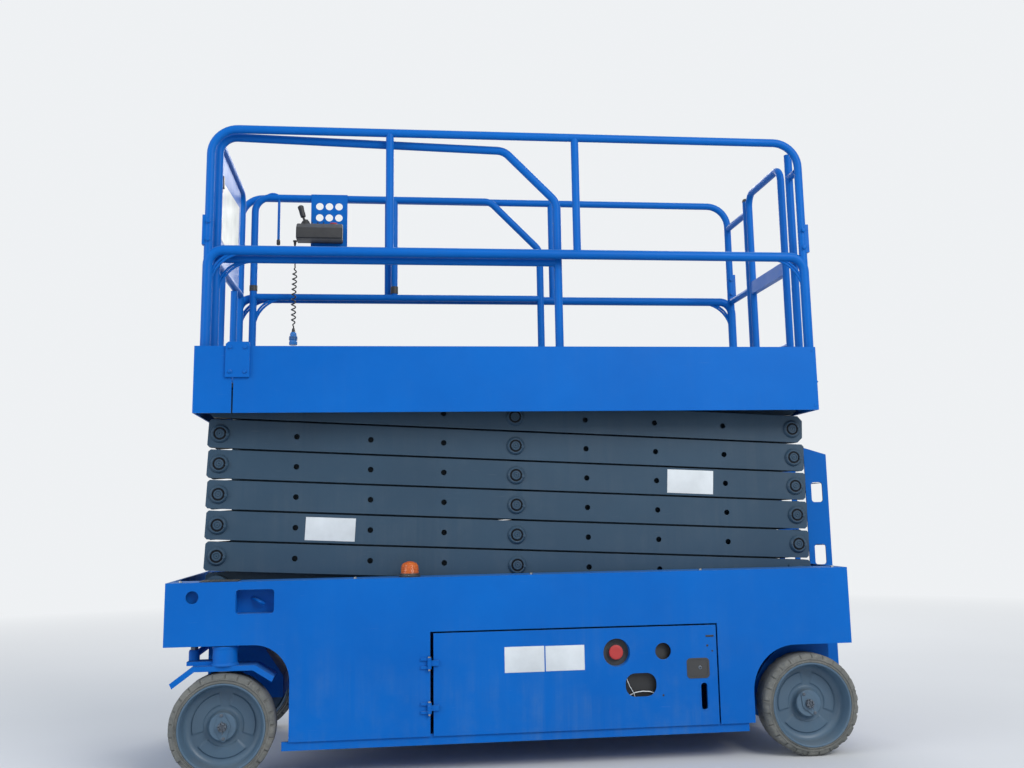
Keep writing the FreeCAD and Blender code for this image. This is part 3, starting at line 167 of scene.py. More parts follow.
BLUE = painted("blue_enamel", (0.001, 0.128, 0.5), (0.001, 0.108, 0.44), (0.1, 0.2, 0.33), rough=0.4,
    shine=0.12)
ARM = painted("arm_paint", (0.028, 0.064, 0.105), (0.022, 0.052, 0.088), (0.1, 0.125, 0.15), rough=0.42,
    shine=0.3,
              dust_share=0.4, wear=0.22, grime=(0.6, 2.2))
RIM = painted("rim_paint", (0.088, 0.15, 0.215), (0.072, 0.126, 0.185), (0.17, 0.185, 0.185), rough=0.38,
    shine=0.35,
              dust_share=0.55, wear=0.25, grime=(0.0, 0.45))
GREY = painted("unit_paint", (0.17, 0.18, 0.19), (0.13, 0.14, 0.15), (0.25, 0.24, 0.22), rough=0.45,
    shine=0.3)

def rubber():
    s = Shader("tyre_rubber")
    blotch = s.noise(9, 8, 0.7)
    base = s.mix(s.ramp(blotch, 0.35, 0.7), (0.118, 0.124, 0.118), (0.19, 0.188, 0.17))
    scuff = s.ramp(s.noise(70, 6, 0.75), 0.55, 0.72)
    base = s.mix(s.times(scuff, 0.5), base, (0.32, 0.31, 0.28))
    dark = s.ramp(s.noise(24, 5, 0.7), 0.56, 0.7)
    base = s.mix(s.times(dark, 0.55), base, (0.06, 0.062, 0.062))
    normal = s.bump(s.noise(60, 8, 0.75), 0.35, 0.004, s.rounded(0.003))
    normal = s.bump(s.noise(360, 3, 0.6), 0.25, 0.0008, normal)
    return s.finish(Base_Color=base, Roughness=s.ramp(blotch, 0.3, 0.7, 0.78, 0.92), Normal=normal,
        Specular_IOR_Level=0.3)

def steel(name, colour, rough, grain=0.15, metallic=1.0):
    s = Shader(name)
    tone = s.noise(26, 6, 0.65)
    darker = tuple(c * 0.6 for c in colour)
    base = s.mix(s.ramp(tone, 0.35, 0.72), colour, darker)
    rust = s.times(s.ramp(s.noise(13, 7, 0.7), 0.6, 0.75), grain)
    base = s.mix(rust, base, (0.16, 0.075, 0.03))
    gloss = s.ramp(s.noise(90, 4, 0.6), 0.3, 0.7, rough, rough + 0.14)
    normal = s.bump(s.noise(300, 4, 0.6), 0.12, 0.0006, s.rounded(0.0008))
    return s.finish(Base_Color=base, Roughness=gloss, Normal=normal, Metallic=metallic)

def plastic(name, colour, rough=0.5, grain=500.0, depth=0.0005):
    s = Shader(name)
    base = s.mix(s.ramp(s.noise(6, 6, 0.6), 0.3, 0.7), colour, tuple(c * 0.75 + 0.012 for c in colour))
    dust = s.times(s.ramp(s.facing_up(), 0.4, 0.95), s.ramp(s.noise(40, 6, 0.7), 0.3, 0.7, 0.1, 0.35))
    base = s.mix(dust, base, (0.25, 0.25, 0.24))
    normal = s.bump(s.cells(grain), 0.25, depth, s.rounded(0.0012))
    return s.finish(Base_Color=base, Roughness=s.ramp(s.noise(18, 4), 0.3, 0.7, rough - 0.08, rough + 0.1),
        Normal=normal)

RUBBER = rubber()
# Near-black paint for the ring on the floor of each pin collar's recess.
DARK_RING_PAINT = painted("near_black_ring", (0.006, 0.008, 0.011), (0.01, 0.012, 0.016), (0.02, 0.024, 0.028), rough=0.5,
    shine=0.1, wear=0.0)
STEEL = steel("bare_steel", (0.42, 0.43, 0.44), 0.32)
DARK_STEEL = steel("dark_steel", (0.14, 0.165, 0.2), 0.38, grain=0.02, metallic=0.7)
CHROME = steel("rod_chrome", (0.8, 0.81, 0.83), 0.08, grain=0.0)
ZINC = steel("zinc_plate", (0.55, 0.56, 0.55), 0.3, grain=0.05)
BLACK = plastic("black_moulding", (0.018, 0.019, 0.021))
CASE = plastic("battery_case", (0.035, 0.036, 0.038), 0.55)
RED = plastic("red_button", (0.5, 0.03, 0.028), 0.42, grain=900)
CONNECTOR = plastic("blue_connector", (0.012, 0.2, 0.6), 0.4)
WHITE = plastic("blank_plate", (0.72, 0.76, 0.78), 0.38, grain=1400, depth=0.0001)
SIGN = plastic("blank_sign", (0.62, 0.66, 0.6), 0.45, grain=900, depth=0.0001)

def beacon_glass():
    s = Shader("beacon_lens")
    ribs = s.add("TexWave", {"Vector": s.where, "Scale": 55.0, "Distortion": 0.0},
        bands_direction="Z").outputs["Fac"]
    base = s.mix(s.ramp(s.noise(20, 4), 0.35, 0.7), (0.86, 0.2, 0.03), (0.62, 0.12, 0.02))
    return s.finish(Base_Color=base, Roughness=0.18, Transmission_Weight=0.25, IOR=1.49,
        Normal=s.bump(ribs, 0.5, 0.0015),
                    Subsurface_Weight=0.25, Subsurface_Radius=(0.02, 0.008, 0.003))

def tread_plate():
    """Bright floor plate with raised lozenges set crosswise."""
    s = Shader("tread_plate")
    flat = s.scaled((1, 1, 0))
    lumps = []
    for degrees, phase in ((45, 0.0), (-45, 0.5)):
        rotation = (0, 0, math.radians(degrees))
        turned = s.add("Mapping", {"Vector": flat, "Rotation": rotation, "Scale": (26, 78, 1)}).outputs[0]
        parts = s.add("SeparateXYZ", {"Vector": turned}).outputs
        row = s.math("FLOOR", parts["Y"])
        odd = s.times(s.math("MODULO", row, 3.0), 1 / 3)
        shifted = s.math("ADD", s.math("ADD", parts["X"], odd), phase)
        across = s.math("SUBTRACT", s.math("FRACT", shifted), 0.5)
        along = s.math("SUBTRACT", s.math("FRACT", parts["Y"]), 0.5)
        far = [s.math("POWER", s.times(way, share), 2.0) for way, share in ((across, 3.0), (along, 2.6))]
        lumps.append(s.ramp(s.math("ADD", *far), 0.25, 0.9, 1.0, 0.0))
    lump = s.math("MAXIMUM", *lumps)
    base = s.mix(s.ramp(s.noise(5, 7, 0.7), 0.35, 0.7), (0.3, 0.31, 0.32), (0.17, 0.17, 0.165))
    gloss = s.math("SUBTRACT", s.ramp(s.noise(12, 6, 0.7), 0.3, 0.7, 0.48, 0.72), s.times(lump, 0.16))
    return s.finish(Base_Color=base, Metallic=0.7, Roughness=gloss,
        Normal=s.bump(lump, 0.8, 0.002, s.rounded(0.0012)))

LENS = beacon_glass()
PLATE = tread_plate()

SLOT_LOOKS = {
    "body_blue": BLUE, "arm_paint": ARM, "rim_grey": RIM, "tyre": RUBBER, "pin_steel": STEEL,
    "rod_chrome": CHROME,
    "beacon_orange": LENS, "battery_case": CASE, "unit_grey": GREY, "floor_plate": PLATE,
    "control_black": BLACK, "connector_blue": CONNECTOR,
}
for sub in frame["record"]["subparts"]:
    mesh = frame["nodes"][sub["node"]].data
    mesh.materials.clear()
    mesh.materials.append(SLOT_LOOKS[sub["material_slot"]])

# Floor, light and camera

BACKDROP = (0.86, 0.88, 0.9)

def floor_paint():
    """Pale matt floor that keeps the shadow and runs into the backdrop's colour far from the machine."""
    s = Shader("floor_pale")
    tone = s.mix(s.ramp(s.noise(0.7, 3), 0.3, 0.7), (0.62, 0.63, 0.64), (0.6, 0.61, 0.62))
    away = s.add("VectorMath", {0: s.where}, operation="LENGTH").outputs["Value"]
    rays = s.add("LightPath").outputs
    seen = s.math("MAXIMUM", s.math("MAXIMUM", rays["Is Camera Ray"], rays["Is Glossy Ray"]),
        rays["Is Transmission Ray"])
    glow = s.add("Emission", {"Color": BACKDROP, "Strength": 1.0}).outputs[0]
    mixed = s.add("MixShader", {0: s.times(s.ramp(away, 2.2, 9.0), seen), 1: s.surface.outputs[0], 2: glow})
    s.tree.links.new(mixed.outputs[0], s.output.inputs[0])
    return s.finish(Base_Color=tone, Roughness=0.9)

def ground():
    made = bpy.data.meshes.new("floor")
    made.from_pydata([(-60, -60, 0), (60, -60, 0), (60, 60, 0), (-60, 60, 0)], [], [(0, 1, 2, 3)])
    made.materials.append(floor_paint())
    floor = bpy.data.objects.new("floor", made)
    bpy.context.scene.collection.objects.link(floor)

ground()

scene = bpy.context.scene
scene.view_settings.view_transform = "Standard"
world = bpy.data.worlds.new("sky")
scene.world = world
world.use_nodes = True
air = world.node_tree.nodes
air.clear()
kinds = ("Background", "Background", "LightPath", "Math", "Math", "MixShader", "OutputWorld")
lit, seen, path, either, any_of, pick, sky = (air.new("ShaderNode" + kind) for kind in kinds)
for source, colour, power in ((lit, (0.8, 0.88, 1.0), 0.62), (seen, BACKDROP, 1.0)):
    source.inputs[0].default_value = (*colour, 1)
    source.inputs[1].default_value = power
either.operation = any_of.operation = "MAXIMUM"
for source, output, target, socket in (
        (path, "Is Camera Ray", either, 0), (path, "Is Transmission Ray", either, 1), (either, 0, any_of, 0),
        (path, "Is Glossy Ray", any_of, 1), (any_of, 0, pick, 0), (lit, 0, pick, 1), (seen, 0, pick, 2),
        (pick, 0, sky, 0)):
    world.node_tree.links.new(source.outputs[output], target.inputs[socket])

def lamp(name, place, target, size, power, colour):
    data = bpy.data.lights.new(name, "AREA")
    data.shape, data.size, data.energy, data.color = "SQUARE", size, power, colour
    made = bpy.data.objects.new(name, data)
    made.location = place
    made.rotation_euler = (Vector(target) - Vector(place)).to_track_quat("-Z", "Y").to_euler()
    scene.collection.objects.link(made)

lamp("key", (3.5, -6.5, 5.5), (0, 0, 1.0), 4.0, 420, (1.0, 0.98, 0.95))
lamp("fill", (-6.0, -3.5, 3.0), (0, 0, 1.0), 4.0, 160, (0.88, 0.94, 1.0))
lamp("back", (1.5, 6.0, 5.0), (0, 0, 1.5), 4.0, 260, (1.0, 0.98, 0.95))

SENSOR, PICTURE_WIDE, FOCAL_PIXELS = 36.0, 1024, 1126.16
EYE = (-0.58, -4.947, 0.918)
eye = bpy.data.cameras.new("view")
eye.sensor_width = SENSOR
eye.lens = FOCAL_PIXELS / PICTURE_WIDE * SENSOR
eye.shift_x, eye.shift_y = -0.01427, -0.0623
camera = bpy.data.objects.new("view", eye)
scene.collection.objects.link(camera)
scene.camera = camera
yaw, pitch, roll = 0.13097, 0.17394, -0.01784
look = Matrix.Rotation(-yaw, 3, "Z") @ Matrix.Rotation(math.pi / 2 + pitch, 3, "X") @ Matrix.Rotation(roll, 3,
    "Z")
camera.matrix_world = Matrix.Translation(EYE) @ look.to_4x4()

# Mesh helpers

def at(x, y, z):
    """A point given from the middle of the chassis, in the model's frame."""
    return Vector((x + SHIFT, y, z))

class Form:
    """Collects faces for one piece. Every call adds a closed form in the current material."""

    def __init__(self, material):
        self.mesh = bmesh.new()
        self.materials = [material]
        self.current = 0

    def use(self, material):
        if material not in self.materials:
            self.materials.append(material)
        self.current = self.materials.index(material)

    def _own(self, faces):
        for face in faces:
            face.material_index = self.current

    def skin(self, rings, ends=True, loop=False):
        """Faces between rings of points with equal counts; a loop joins the last ring to the first."""
        rows = [[self.mesh.verts.new(point) for point in ring] for ring in rings]
        count = len(rows[0])
        faces = []
        for one, two in zip(rows, rows[1:] + rows[:1] if loop else rows[1:]):
            for k in range(count):
                n = (k + 1) % count
                faces.append(self.mesh.faces.new((one[k], one[n], two[n], two[k])))
        if ends:
            faces.append(self.mesh.faces.new(rows[0][::-1]))
            faces.append(self.mesh.faces.new(rows[-1]))
        self._own(faces)

    def block(self, low, high, soften):
        """A block between two corners, with softened edges."""
        low, high = Vector(low), Vector(high)
        shape = Matrix.Translation((low + high) / 2) @ Matrix.Diagonal((*(high - low), 1))
        made = bmesh.ops.create_cube(self.mesh, size=1.0, matrix=shape)
        faces = {face for vert in made["verts"] for face in vert.link_faces}
        self._own(faces)
        edges = list({edge for face in faces for edge in face.edges})
        done = bmesh.ops.bevel(self.mesh, geom=edges, offset=soften, segments=2, profile=0.6, affect="EDGES")
        self._own(done["faces"])

    def turned(self, place, axis, outline, steps=32, shape=None, ring=False):
        """A form turned about an axis from (along, radius) corners; shape may move each, a ring has no ends."""
        axis = Vector(axis).normalized()
        side = axis.orthogonal().normalized()
        other = axis.cross(side)
        rings = []
        for along, radius in outline:
            points = []
            for step in range(steps):
                angle = math.tau * step / steps
                a, r = (along, radius) if shape is None else shape(angle, along, radius)
                spoke = side * math.cos(angle) + other * math.sin(angle)
                points.append(Vector(place) + axis * a + spoke * r)
            rings.append(points)
        self.skin(rings, ends=not ring, loop=ring)

    def pipe(self, points, radius, sides=10):
        """A round bar along points."""
        points = [Vector(point) for point in points]
        rings = []
        up = None
        for index, point in enumerate(points):
            before = points[max(index - 1, 0)]
            after = points[min(index + 1, len(points) - 1)]
            along = (after - before).normalized()
            up = along.orthogonal().normalized() if up is None else (up - along * up.dot(along)).normalized()
            side = along.cross(up)
            turns = [math.tau * k / sides for k in range(sides)]
            rings.append([point + (up * math.cos(turn) + side * math.sin(turn)) * radius for turn in turns])
        self.skin(rings)

    def slab(self, outline, depth):
        """A flat plate from a closed outline of points, thickened by a vector."""
        self.skin([outline, [point + Vector(depth) for point in outline]])

    def bolt(self, place, axis, size, washer=True):
        """Hexagon head on a washer, standing out along the axis."""
        start = 0.0
        if washer:
            self.turned(place, axis, [(0, size * 0.95), (size * 0.13, size * 0.95),
                (size * 0.16, size * 0.9)], 20)
            start = size * 0.16
        head = [(start, size * 0.86), (start + size * 0.52, size * 0.86), (start + size * 0.62, size * 0.72)]
        self.turned(place, axis, head, 6)

    def done(self, name, body, slot, fine=35.0):
        """The finished piece, which rides on a body."""
        bmesh.ops.recalc_face_normals(self.mesh, faces=self.mesh.faces)
        for face in self.mesh.faces:
            face.smooth = True
        for edge in self.mesh.edges:
            edge.smooth = edge.calc_face_angle(0.0) < math.radians(fine)
        data = bpy.data.meshes.new(name)
        self.mesh.to_mesh(data)
        self.mesh.free()
        for material in self.materials:
            data.materials.append(material)
        piece = bpy.data.objects.new(name, data)
        scene.collection.objects.link(piece)
        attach(piece, body)
        return piece

def arc(centre, first, second, start, end, count):
    """Points round a centre; first and second are the radius vectors at 0 and 90 degrees."""
    centre, first, second = Vector(centre), Vector(first), Vector(second)
    angles = [math.radians(start + (end - start) * k / (count - 1)) for k in range(count)]
    return [centre + first * math.cos(angle) + second * math.sin(angle) for angle in angles]

def rounded_box(centre, half, rise, bend):
    """Outline of a rounded rectangle in the XZ plane."""
    points = []
    for sx, sz, start in ((1, 1, 0), (-1, 1, 90), (-1, -1, 180), (1, -1, 270)):
        corner = Vector(centre) + Vector((sx * (half - bend), 0, sz * (rise - bend)))
        points += arc(corner, (bend, 0, 0), (0, 0, bend), start, start + 90, 5)
    return points

def node_box(node):
    return [Vector(corner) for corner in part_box(node)]

def node_middle(node):
    low, high = node_box(node)
    return (low + high) / 2

# Curly cord and its connector

CORD_X, CORD_Y = -0.936, 0.3737
CORD_EXIT = at(CORD_X, CORD_Y, 2.24)
CORD_END = at(CORD_X, CORD_Y, 1.798)
CORD_THICK = 0.0062
CURL_TOP, CURL_TURNS, CURL_STEPS = 2.115, 12, 14
CURL_WIDE = 0.0096

def smooth_curve(name, places, resolution):
    data = bpy.data.curves.new(name, "CURVE")
    data.dimensions = "3D"
    spline = data.splines.new("NURBS")
    spline.points.add(len(places) - 1)
    for point, place in zip(spline.points, places):
        point.co = (*place, 1)
    spline.order_u = 3
    spline.use_endpoint_u = True
    data.resolution_u = resolution
    return data

def line_points(control):
    """Points along the smooth line that hangs through the control points."""
    data = smooth_curve("hang", control, 24)
    holder = bpy.data.objects.new("hang", data)
    found = bpy.data.meshes.new_from_object(holder)
    points = [vert.co.copy() for vert in found.vertices]
    bpy.data.meshes.remove(found)
    bpy.data.objects.remove(holder)
    bpy.data.curves.remove(data)
    return points

def curly_cord(with_pieces):
    sway = Vector((0.003, 0, 0))
    route = [CORD_EXIT, CORD_EXIT - UP * 0.06, at(CORD_X, CORD_Y, 2.1) + sway,
             at(CORD_X, CORD_Y, 1.95) - sway, CORD_END + UP * 0.05, CORD_END]
    hang = line_points(route)

    def on_line(z):
        for upper, lower in zip(hang, hang[1:]):
            if upper.z >= z >= lower.z:
                return upper.lerp(lower, (upper.z - z) / max(upper.z - lower.z, 1e-9))
        return hang[-1]

    points = [on_line(CORD_EXIT.z - drop) for drop in (0, 0.03, 0.06, 0.09)]
    low = CORD_END.z + 0.022
    total = CURL_TURNS * CURL_STEPS
    for step in range(total + 1):
        share = step / total
        angle = math.tau * step / CURL_STEPS
        wide = CURL_WIDE * min(1.0, share * 8, (1 - share) * 8)
        middle = on_line(CURL_TOP + (low - CURL_TOP) * share)
        points.append(middle + Vector((math.cos(angle), math.sin(angle), 0)) * wide)
    points.append(CORD_END)
    data = smooth_curve("curly_cord", points, 3)
    data.bevel_depth = CORD_THICK / 2
    data.bevel_resolution = 3
    data.use_fill_caps = True
    data.materials.append(BLACK)
    piece = bpy.data.objects.new("curly_cord_line", data)
    scene.collection.objects.link(piece)
    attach(piece, "extension")
    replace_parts(piece, "curly_cord")

def cord_connector():
    form = Form(CONNECTOR)
    top = CORD_END
    body = [(0, 0.01), (0.004, 0.014), (0.012, 0.0155), (0.018, 0.0145), (0.02, 0.019), (0.038, 0.0195),
            (0.04, 0.017), (0.044, 0.017), (0.046, 0.0192), (0.058, 0.0192), (0.061, 0.0175)]
    form.turned(top, DOWN, body, 28)
    form.use(BLACK)
    form.turned(top, DOWN, [(-0.02, 0.0042), (-0.016, 0.0062), (-0.002, 0.0088), (0.002, 0.0096)], 20)
    for level in (0.024, 0.029, 0.034):
        form.turned(top, DOWN, [(level, 0.0196), (level + 0.001, 0.0204), (level + 0.002, 0.0196)], 28)
    piece = form.done("connector_shell", "extension", "connector_blue")
    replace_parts(piece, "cord_connector")
    return piece

def box_gland():
    """Strain relief where the curly cord leaves the control box."""
    form = Form(BLACK)
    form.turned(CORD_EXIT + UP * 0.001, DOWN, [(0, 0.0098), (0.005, 0.0098), (0.006, 0.0072),
        (0.026, 0.0042)], 20)
    return form.done("cord_gland", "extension", "control_black")

curly_cord([cord_connector(), box_gland()])

# Wheels

TYRE_RADIUS, TYRE_HALF = 0.1905, 0.0635
RIM_RADIUS, DISH = 0.156, 0.074
WHEEL_AHEAD, STEER_AHEAD, WHEEL_PLANE = 1.092, 1.212, 0.5335

def tyre(name):
    """Solid tyre: crowned tread, notched shoulders, raised side ring and a bead on the rim."""
    form = Form(RUBBER)
    half, outer, inner = TYRE_HALF, TYRE_RADIUS - 0.0006, RIM_RADIUS + 0.0005
    side_turn = len(name)
    side = [(0.01, inner), (0.0015, inner + 0.001), (0, inner + 0.004), (0.0035, inner + 0.0065),
            (0.0035, inner + 0.01), (0.0008, inner + 0.0115), (0.0008, inner + 0.0145),
            (0.0028, inner + 0.0165), (0.003, outer - 0.0135), (0.0062, outer - 0.0065),
            (0.0125, outer - 0.0018), (0.024, outer - 0.0004)]
    outline = [(-half + a, r) for a, r in side] + [(half - a, r) for a, r in reversed(side)]
    slots = 25

    def worn(angle, along, radius):
        """Slots across both shoulders, chipped edges, and a slightly lumpy tread and side."""
        wave = 0.0003 * math.sin(angle * 7 + along * 60) + 0.00025 * math.sin(angle * 23 + 1.3)
        if radius < outer - 0.015:
            return along, radius + wave
        phase = (angle / math.tau * slots + (0.0 if along < 0 else 0.5)) % 1.0
        chip = max(0.0, math.sin(angle * 11 + 1.7 * side_turn) * math.sin(angle * 17.0 + 0.6) - 0.35) * 0.0055
        if abs(along) > half - 0.02:
            cut = 0.0042 if phase < 0.1 else 0.0
            return along - math.copysign((cut + chip) * 0.75, along), radius - cut - chip + wave
        return along, radius + wave

    middle = node_middle(name)
    form.turned(middle, (0, 1, 0), outline, 324, worn, True)
    piece = form.done(name + "_worn", name[:-5] + "_wheel", "tyre", 28)
    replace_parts(piece, name)

def rim(name, side):
    """Dished rim with a rolled lip, three pressed fields, hub cap, lock plate and castle nut."""
    form = Form(RIM)
    middle = node_middle(name)
    out = Vector((0, side, 0))
    wide = TYRE_HALF * 2
    start, disc = middle + out * -TYRE_HALF, wide - DISH
    cap = disc + 0.034
    wall = RIM_RADIUS - 0.008
    outline = [(0.001, wall), (0, wall + 0.003), (0.0012, RIM_RADIUS - 0.0006), (0.004, RIM_RADIUS - 0.0004),
               (wide - 0.01, RIM_RADIUS - 0.0004), (wide - 0.003, RIM_RADIUS + 0.0012),
               (wide - 0.0002, RIM_RADIUS - 0.0006), (wide - 0.0006, RIM_RADIUS - 0.005),
               (wide - 0.004, wall + 0.001), (wide - 0.01, wall - 0.002), (disc + 0.022, wall - 0.004),
               (disc + 0.01, wall - 0.008), (disc + 0.003, wall - 0.016), (disc, wall - 0.026),
               (disc, 0.1215)]
    outline += [(disc, 0.1195 - 0.0025 * k) for k in range(24)]
    outline += [(disc + 0.002, 0.058), (disc + 0.008, 0.0525), (disc + 0.014, 0.051), (disc + 0.0305, 0.05),
        (cap, 0.0465), (cap, 0.03),
               (cap, 0.0235), (disc - 0.007, 0.0235), (disc - 0.007, wall - 0.01),
               (disc - 0.001, wall - 0.003)]

    def pressed(angle, along, radius):
        """Three raised fields with soft curved edges on the flat of the disc."""
        if 0.06 < radius < 0.121 and disc - 0.001 < along < disc + 0.001:
            turn = (angle / math.tau * 3 + 0.15) % 1.0
            edge = min(1.0, max(0.0, (0.5 - abs(turn - 0.5) - 0.085) * 30))
            across = min(1.0, max(0.0, (radius - 0.0705) / 0.004)) * min(1.0,
                max(0.0, (0.1165 - radius) / 0.004))
            return along + 0.004 * edge * across, radius
        return along, radius

    form.turned(start, out, outline, 240, pressed, True)
    hub = start + out * cap
    form.use(DARK_STEEL)
    form.turned(hub, out, [(-0.012, 0.0225), (0.001, 0.0225), (0.0022, 0.021), (0.0022, 0.004)], 36)

    def castle(angle, along, radius):
        if along > 0.012 and math.cos(angle * 6) > 0.72:
            return 0.0125, radius
        return along, radius

    form.turned(hub, out, [(0.0, 0.0205), (0.003, 0.0205), (0.0035, 0.0165), (0.012, 0.0165),
        (0.0185, 0.0155), (0.019, 0.01),
                           (0.014, 0.0095)], 72, castle)
    turn = Matrix.Rotation(math.radians(84 if "front" in name else 60), 3, "Y")
    form.use(RIM)
    lens = []
    for end in (0, 180):
        lens += arc((-0.041 if end else 0.041, 0, 0), (0.0105, 0, 0), (0, 0, 0.0105), end - 62, end + 62, 9)
        lens += arc((0, 0, 0), (0.0275, 0, 0), (0, 0, 0.0275), end + 52, end + 128, 11)
    form.slab([hub + out * 0.0004 + turn @ point for point in lens], out * 0.0042)
    form.use(DARK_STEEL)
    for x in (-0.041, 0.041):
        form.bolt(hub + out * 0.0046 + turn @ Vector((x, 0, 0)), out, 0.0066)
    form.pipe([hub + out * 0.0155 + turn @ Vector((x, 0, 0.0)) for x in (-0.023, -0.02, 0.02, 0.025)], 0.0015,
        8)
    piece = form.done(name + "_pressed", name[:-4] + "_wheel", "rim_grey", 32)
    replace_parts(piece, name)

for wheel_name, wheel_side in (("near_front", NEAR), ("near_rear", NEAR), ("far_front", FAR),
        ("far_rear", FAR)):
    tyre(wheel_name + "_tyre")
    rim(wheel_name + "_rim", wheel_side)

def knuckle_fittings(side):
    """Kingpin collars and bolts, nut of the steering pin, and the weld bead on the yoke."""
    name = SIDE_NAMES[side] + "_knuckle"
    plane = side * WHEEL_PLANE
    x = -WHEEL_AHEAD
    form = Form(BLUE)
    collar = [(0, 0.051), (0.003, 0.0518), (0.006, 0.0485), (0.01, 0.0452)]
    form.turned(at(x, plane, 0.4045), UP, collar, 48)
    form.turned(at(x, plane, 0.464), UP, [(-0.004, 0.0445), (0.0, 0.0462), (0.0075, 0.0462), (0.009, 0.0445)],
        48)
    pin = at(-STEER_AHEAD, side * 0.4735, 0.451)
    form.turned(pin, UP, [(0.0, 0.0185), (0.005, 0.0185), (0.0056, 0.0165)], 28)
    form.use(DARK_STEEL)
    form.turned(pin + UP * 0.0052, UP, [(0, 0.015), (0.01, 0.015), (0.012, 0.013)], 6)
    form.turned(pin + UP * 0.006, UP, [(0, 0.0085), (0.0135, 0.0085), (0.015, 0.007)], 20)
    form.turned(at(x, plane, 0.3868), DOWN, [(0, 0.03), (0.004, 0.03), (0.006, 0.026)], 40)
    for ahead in (-0.018, 0.018):
        form.bolt(at(x + ahead, plane, 0.381), DOWN, 0.0055, False)
    form.use(BLUE)
    inner = side * (WHEEL_PLANE - TYRE_HALF - 0.0085)
    form.pipe([at(x - 0.06 + 0.012 * k, inner, 0.386) for k in range(11)], 0.0042, 8)
    form.done(name + "_fittings", name, "body_blue")

for knuckle_side in SIDES:
    knuckle_fittings(knuckle_side)

# Chassis

def hinge_pins():
    """Heads and tips of the door hinges' pins."""
    form = Form(STEEL)
    for side in SIDES:
        for level in (0.232, 0.392):
            place = at(-0.3436, side * 0.589, level)
            form.turned(place + UP * 0.0204, UP, [(0, 0.0065), (0.003, 0.0065), (0.0045, 0.005)], 20)
            form.turned(place - UP * 0.0204, DOWN, [(0, 0.0045), (0.006, 0.0045), (0.007, 0.003)], 16)
    form.done("hinge_pins", "chassis", "pin_steel")

def pocket_liners():
    """Liners behind the tie-down pockets, each with a hook, and rims and back plates of the lashing holes."""
    form = Form(BLUE)
    for side in SIDES:
        out = Vector((0, side, 0))
        centre = at(-0.985, side * 0.5715, 0.632)
        outer = rounded_box(centre, 0.074, 0.048, 0.01)
        inner = rounded_box(centre, 0.0685, 0.0425, 0.006)
        back = [point - out * 0.062 for point in inner]
        form.skin([outer, inner, back, [point - out * 0.064 for point in outer]], ends=False, loop=True)
        form.skin([back, [point - out * 0.0015 for point in back]])
        hook = [(-1.0, 0.512, 0.64), (-0.984, 0.53, 0.636), (-0.968, 0.538, 0.628), (-0.956, 0.53, 0.62)]
        form.pipe([at(x, side * y, z) for x, y, z in hook], 0.006, 12)
        lash = at(-1.211, side * 0.572, 0.652)
        form.turned(lash, -out, [(0, 0.0245), (0.0, 0.032), (0.012, 0.032), (0.012, 0.0245)], 40, None, True)
        form.turned(lash - out * 0.022, -out, [(0, 0.036), (0.003, 0.036)], 40)
    form.done("pocket_liners", "chassis", "body_blue")

def deck_trim():
    """Bolts and studded grip mats on the narrow side decks."""
    form = Form(ZINC)
    for side in SIDES:
        for x in (-1.26, -0.62, 0.05, 0.72, 1.26):
            form.bolt(at(x, side * 0.545, 0.7051), UP, 0.0075)
    form.use(BLACK)
    for side in SIDES:
        middle = side * 0.508
        form.block(at(-1.19, middle - 0.052, 0.7052), at(-1.05, middle + 0.052, 0.7085), 0.001)
        for k in range(7):
            for m in range(5):
                spot = at(-1.178 + 0.0193 * k, middle - 0.036 + 0.018 * m, 0.7084)
                form.turned(spot, UP, [(0, 0.004), (0.0014, 0.003), (0.0015, 0.001)], 8)
    form.done("deck_trim", "chassis", "unit_grey")

LAMP_FACE = 1.3186

def end_fittings():
    """Socket and tail lamps on their plates at the rear."""
    form = Form(BLUE)
    for y in (0.25, -0.5):
        form.block(at(1.3084, y, 0.47), at(1.3185, y + 0.25, 0.66), 0.003)
    form.use(ZINC)
    for side in SIDES:
        for y in (0.265, 0.485):
            for z in (0.485, 0.645):
                form.bolt(at(LAMP_FACE, side * y, z), AFT, 0.0062)
    form.use(BLACK)
    form.turned(at(LAMP_FACE, 0.375, 0.565), AFT, [(0, 0.04), (0.01, 0.04), (0.013, 0.037), (0.026, 0.037),
        (0.029, 0.034), (0.029, 0.012), (0.024, 0.01)], 40)
    form.block(at(LAMP_FACE, -0.44, 0.53), at(1.336, -0.31, 0.6), 0.004)
    form.use(RED)
    for y in (-0.41, -0.34):
        form.turned(at(1.336, y, 0.565), AFT, [(0, 0.017), (0.006, 0.0165), (0.008, 0.014), (0.009, 0.004)],
            28)
    form.done("end_fittings", "chassis", "body_blue")

def beacon_lamp():
    """Ribbed dome on a flanged base."""
    form = Form(BLACK)
    low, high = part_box("beacon")
    place = Vector(((low[0] + high[0]) / 2, (low[1] + high[1]) / 2, low[2]))
    form.turned(place, UP, [(0.0003, 0.041), (0.005, 0.041), (0.0065, 0.0385), (0.012, 0.0375),
        (0.0135, 0.034)], 48)
    form.use(LENS)
    dome = [(0.0125, 0.0335), (0.02, 0.0342), (0.03, 0.0338), (0.04, 0.0325), (0.0465, 0.0295),
        (0.0515, 0.024), (0.055, 0.0165),
            (0.0572, 0.008), (0.0578, 0.002)]

    def ribbed(angle, along, radius):
        rib = math.cos(angle * 24) > 0 and 0.018 < along < 0.045
        return along, radius - (0.0007 if rib else 0)

    form.turned(place, UP, dome, 72, ribbed)
    form.use(ZINC)
    for turn in range(3):
        angle = math.tau * turn / 3 + 0.4
        spot = Vector((math.cos(angle) * 0.0365, math.sin(angle) * 0.0365, 0.0052))
        form.bolt(place + spot, UP, 0.0032, False)
    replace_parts(form.done("beacon_lamp", "chassis", "beacon_orange"), "beacon")

